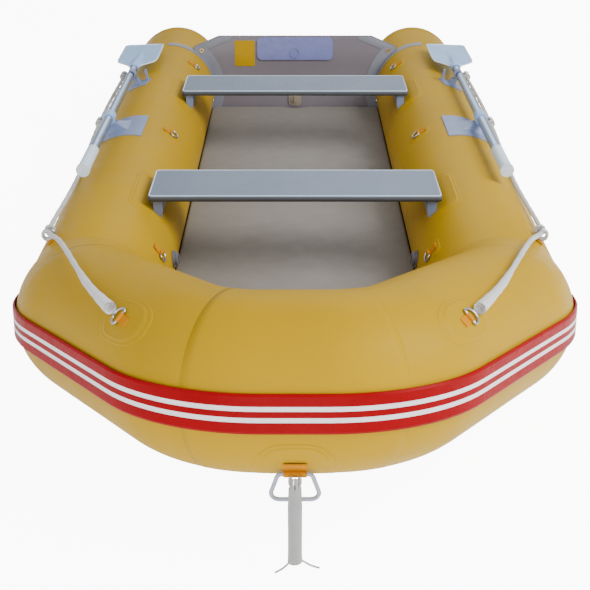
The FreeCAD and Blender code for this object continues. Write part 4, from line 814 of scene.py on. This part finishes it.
def build_blade(name, side):
    """Moulded blade: a thin dished plate, a raised rib that runs out towards the tip, a pale rim."""
    place = oar_place(side, FEATHER)
    rows = steps(BLADE_ROOT, BLADE_TIP, 0.008)
    shares = [k / 20 for k in range(-20, 21)]
    points = []
    for face in (1, -1):
        for y in rows:
            half = blade_half_width(y)
            for share in shares:
                x = half * share
                run = (y - BLADE_ROOT) / 0.24
                width = 0.019 * max(0.0, 1 - run) + 0.002
                rib = 0.013 * max(0.0, 1 - run) ** 0.8 * math.exp(-(x / width) ** 2)
                thick = 0.0026 if abs(share) < 0.96 else 0.0018
                points.append(place(x, y, face * (thick + rib) + 0.004 * share ** 2))
    columns, count = len(shares), len(rows) * len(shares)
    faces = grid_faces(len(rows), columns)
    faces += [tuple(count + i for i in reversed(face)) for face in grid_faces(len(rows), columns)]
    border = list(range(columns)) + [r * columns + columns - 1 for r in range(1, len(rows))]
    border += [(len(rows) - 1) * columns + c for c in range(columns - 2, -1, -1)]
    border += [r * columns for r in range(len(rows) - 2, 0, -1)]
    faces += [(a, count + a, count + b, b) for a, b in zip(border, border[1:] + border[:1])]
    if side > 0:
        faces = [tuple(reversed(face)) for face in faces]
    body = "oar_" + name
    blade = make_mesh("moulded_blade_" + name, points, faces, "oar_plastic", body)
    left = [place(-blade_half_width(y), y, 0.004) for y in rows]
    right = [place(blade_half_width(y), y, 0.004) for y in reversed(rows)]
    rim = left + [place(x, BLADE_TIP, 0.004) for x in steps(-0.066, 0.066, 0.02)] + right
    rope_mesh("blade_rim_" + name, [rim], 0.0028, "grip_white", 8, body)
    line = [place(0, y, 0) for y in (0.680, 0.6805, 0.700, 0.740, 0.790, 0.860, 0.8605)]
    socket = [0.0165, 0.0175, 0.0175, 0.0165, 0.014, 0.006, 0.001]
    radii, run = {}, 0.0
    for a, b, radius in zip(line[:1] + line, line, socket):
        run += (b - a).length
        radii[round(run, 6)] = radius
    rope_mesh("blade_socket_" + name, [line], lambda r: radii.get(round(r, 6), 0.0165), "oar_plastic", 20,
              body)
    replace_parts(blade, "oar_blade_" + name)


def bench_painted_light_strips(bench):
    """A pale strip along the bench board's top edge, a painted highlight, and a dark band round its sides, a
    painted shadow.
    """
    low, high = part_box(bench)
    half_x, half_y = (high.x - low.x) / 2, (high.y - low.y) / 2
    middle = Vector(((high.x + low.x) / 2, (high.y + low.y) / 2, high.z))
    inset, sink, corner = 0.0035, Vector((0, 0, 0.0012)), 0.012
    outline = rounded_outline(half_x - inset, half_y - inset, corner - 0.002, 6)
    # Pale strip: a painted highlight along the board's top edge.
    line = [middle - sink + Vector((x, y, 0)) for x, y in outline]
    rope_mesh(bench + "_painted_highlight", [line + line[:1]], 0.0022, "grip_white", 8, bench)
    # Dark band: a painted shadow round the board's sides, under its pale top edge.
    points = []
    proud, tucked, shadow_top, shadow_foot = 0.0004, -0.002, -0.0045, -0.0183
    for offset, z in ((proud, shadow_top), (proud, shadow_foot), (tucked, shadow_foot), (tucked, shadow_top)):
        ring = rounded_outline(half_x + offset, half_y + offset, corner, 6)
        points += [middle + Vector((x, y, z)) for x, y in ring]
    count, faces = len(points) // 4, []
    for k in range(4):
        a, b = k * count, (k + 1) % 4 * count
        faces += [(a + i, a + (i + 1) % count, b + (i + 1) % count, b + i) for i in range(count)]
    make_mesh(bench + "_painted_shadow", points, faces, "bottom_grey", bench)


for oar_name, oar_side in SIDES:
    build_blade(oar_name, oar_side)
for bench_name in ("bench_front", "bench_rear"):
    bench_painted_light_strips(bench_name)


# ---------------------------------------------------------------- finishes of the remaining CAD pieces
NODE_SLOTS = {part["node"]: part["material_slot"] for part in frame["record"]["subparts"]}
for node_name, node in NODES.items():
    node.data.materials.clear()
    node.data.materials.append(MATERIALS[NODE_SLOTS[node_name]])


# ---------------------------------------------------------------- stage, light and camera
def build_stage():
    """Pale floor, much brighter to the camera than to the boat, and an even sky."""
    floor_glow, glow_to_camera, sky = 0.55, 9.0, 0.62
    bpy.ops.mesh.primitive_plane_add(size=60, location=(0, 0, -0.0005))
    floor = bpy.context.object
    floor.name = "floor"
    n = Nodes("floor")
    n.shader.inputs["Base Color"].default_value = (0.9, 0.9, 0.9, 1)
    n.shader.inputs["Roughness"].default_value = 0.9
    path = n.add("ShaderNodeLightPath")
    to_camera = n.math("MULTIPLY", path.outputs["Is Camera Ray"], glow_to_camera)
    glow = n.math("ADD", to_camera, floor_glow)
    n.shader.inputs["Emission Color"].default_value = (1, 1, 1, 1)
    n.link(glow, n.shader.inputs["Emission Strength"])
    floor.data.materials.append(n.material)
    world = bpy.data.worlds.new("studio")
    bpy.context.scene.world = world
    world.use_nodes = True
    background = world.node_tree.nodes["Background"]
    background.inputs["Color"].default_value = (1, 1, 1, 1)
    background.inputs["Strength"].default_value = sky


def area_light(name, place, aim, size, power):
    """Rectangular softbox that faces a point."""
    data = bpy.data.lights.new(name, "AREA")
    data.shape = "RECTANGLE"
    data.size, data.size_y = size
    data.energy = power
    light = bpy.data.objects.new(name, data)
    bpy.context.scene.collection.objects.link(light)
    light.location = place
    light.rotation_euler = (Vector(aim) - Vector(place)).to_track_quat("-Z", "Y").to_euler()


def build_camera():
    """Camera on the boat's middle line, above and in front of the bow."""
    data = bpy.data.cameras.new("camera")
    data.sensor_width = 36.0
    data.lens = 57.99
    camera = bpy.data.objects.new("camera", data)
    bpy.context.scene.collection.objects.link(camera)
    camera.location = (0.0, -3.211, 1.5924)
    camera.rotation_euler = (math.radians(60), 0, 0)
    bpy.context.scene.camera = camera
    bpy.context.scene.render.resolution_x = 590
    bpy.context.scene.render.resolution_y = 590


build_stage()
area_light("key", (3.2, -1.6, 3.4), (0, -0.4, 0.2), (2.6, 2.6), 250)
area_light("front", (-0.4, -4.6, 1.0), (0, -1.4, 0.25), (1.6, 1.0), 46)
area_light("fill", (-3.5, -2.5, 2.6), (0, -0.4, 0.2), (2.5, 2.5), 36)
area_light("back", (0.5, 4.5, 3.0), (0, 0.4, 0.2), (3, 2), 45)
build_camera()
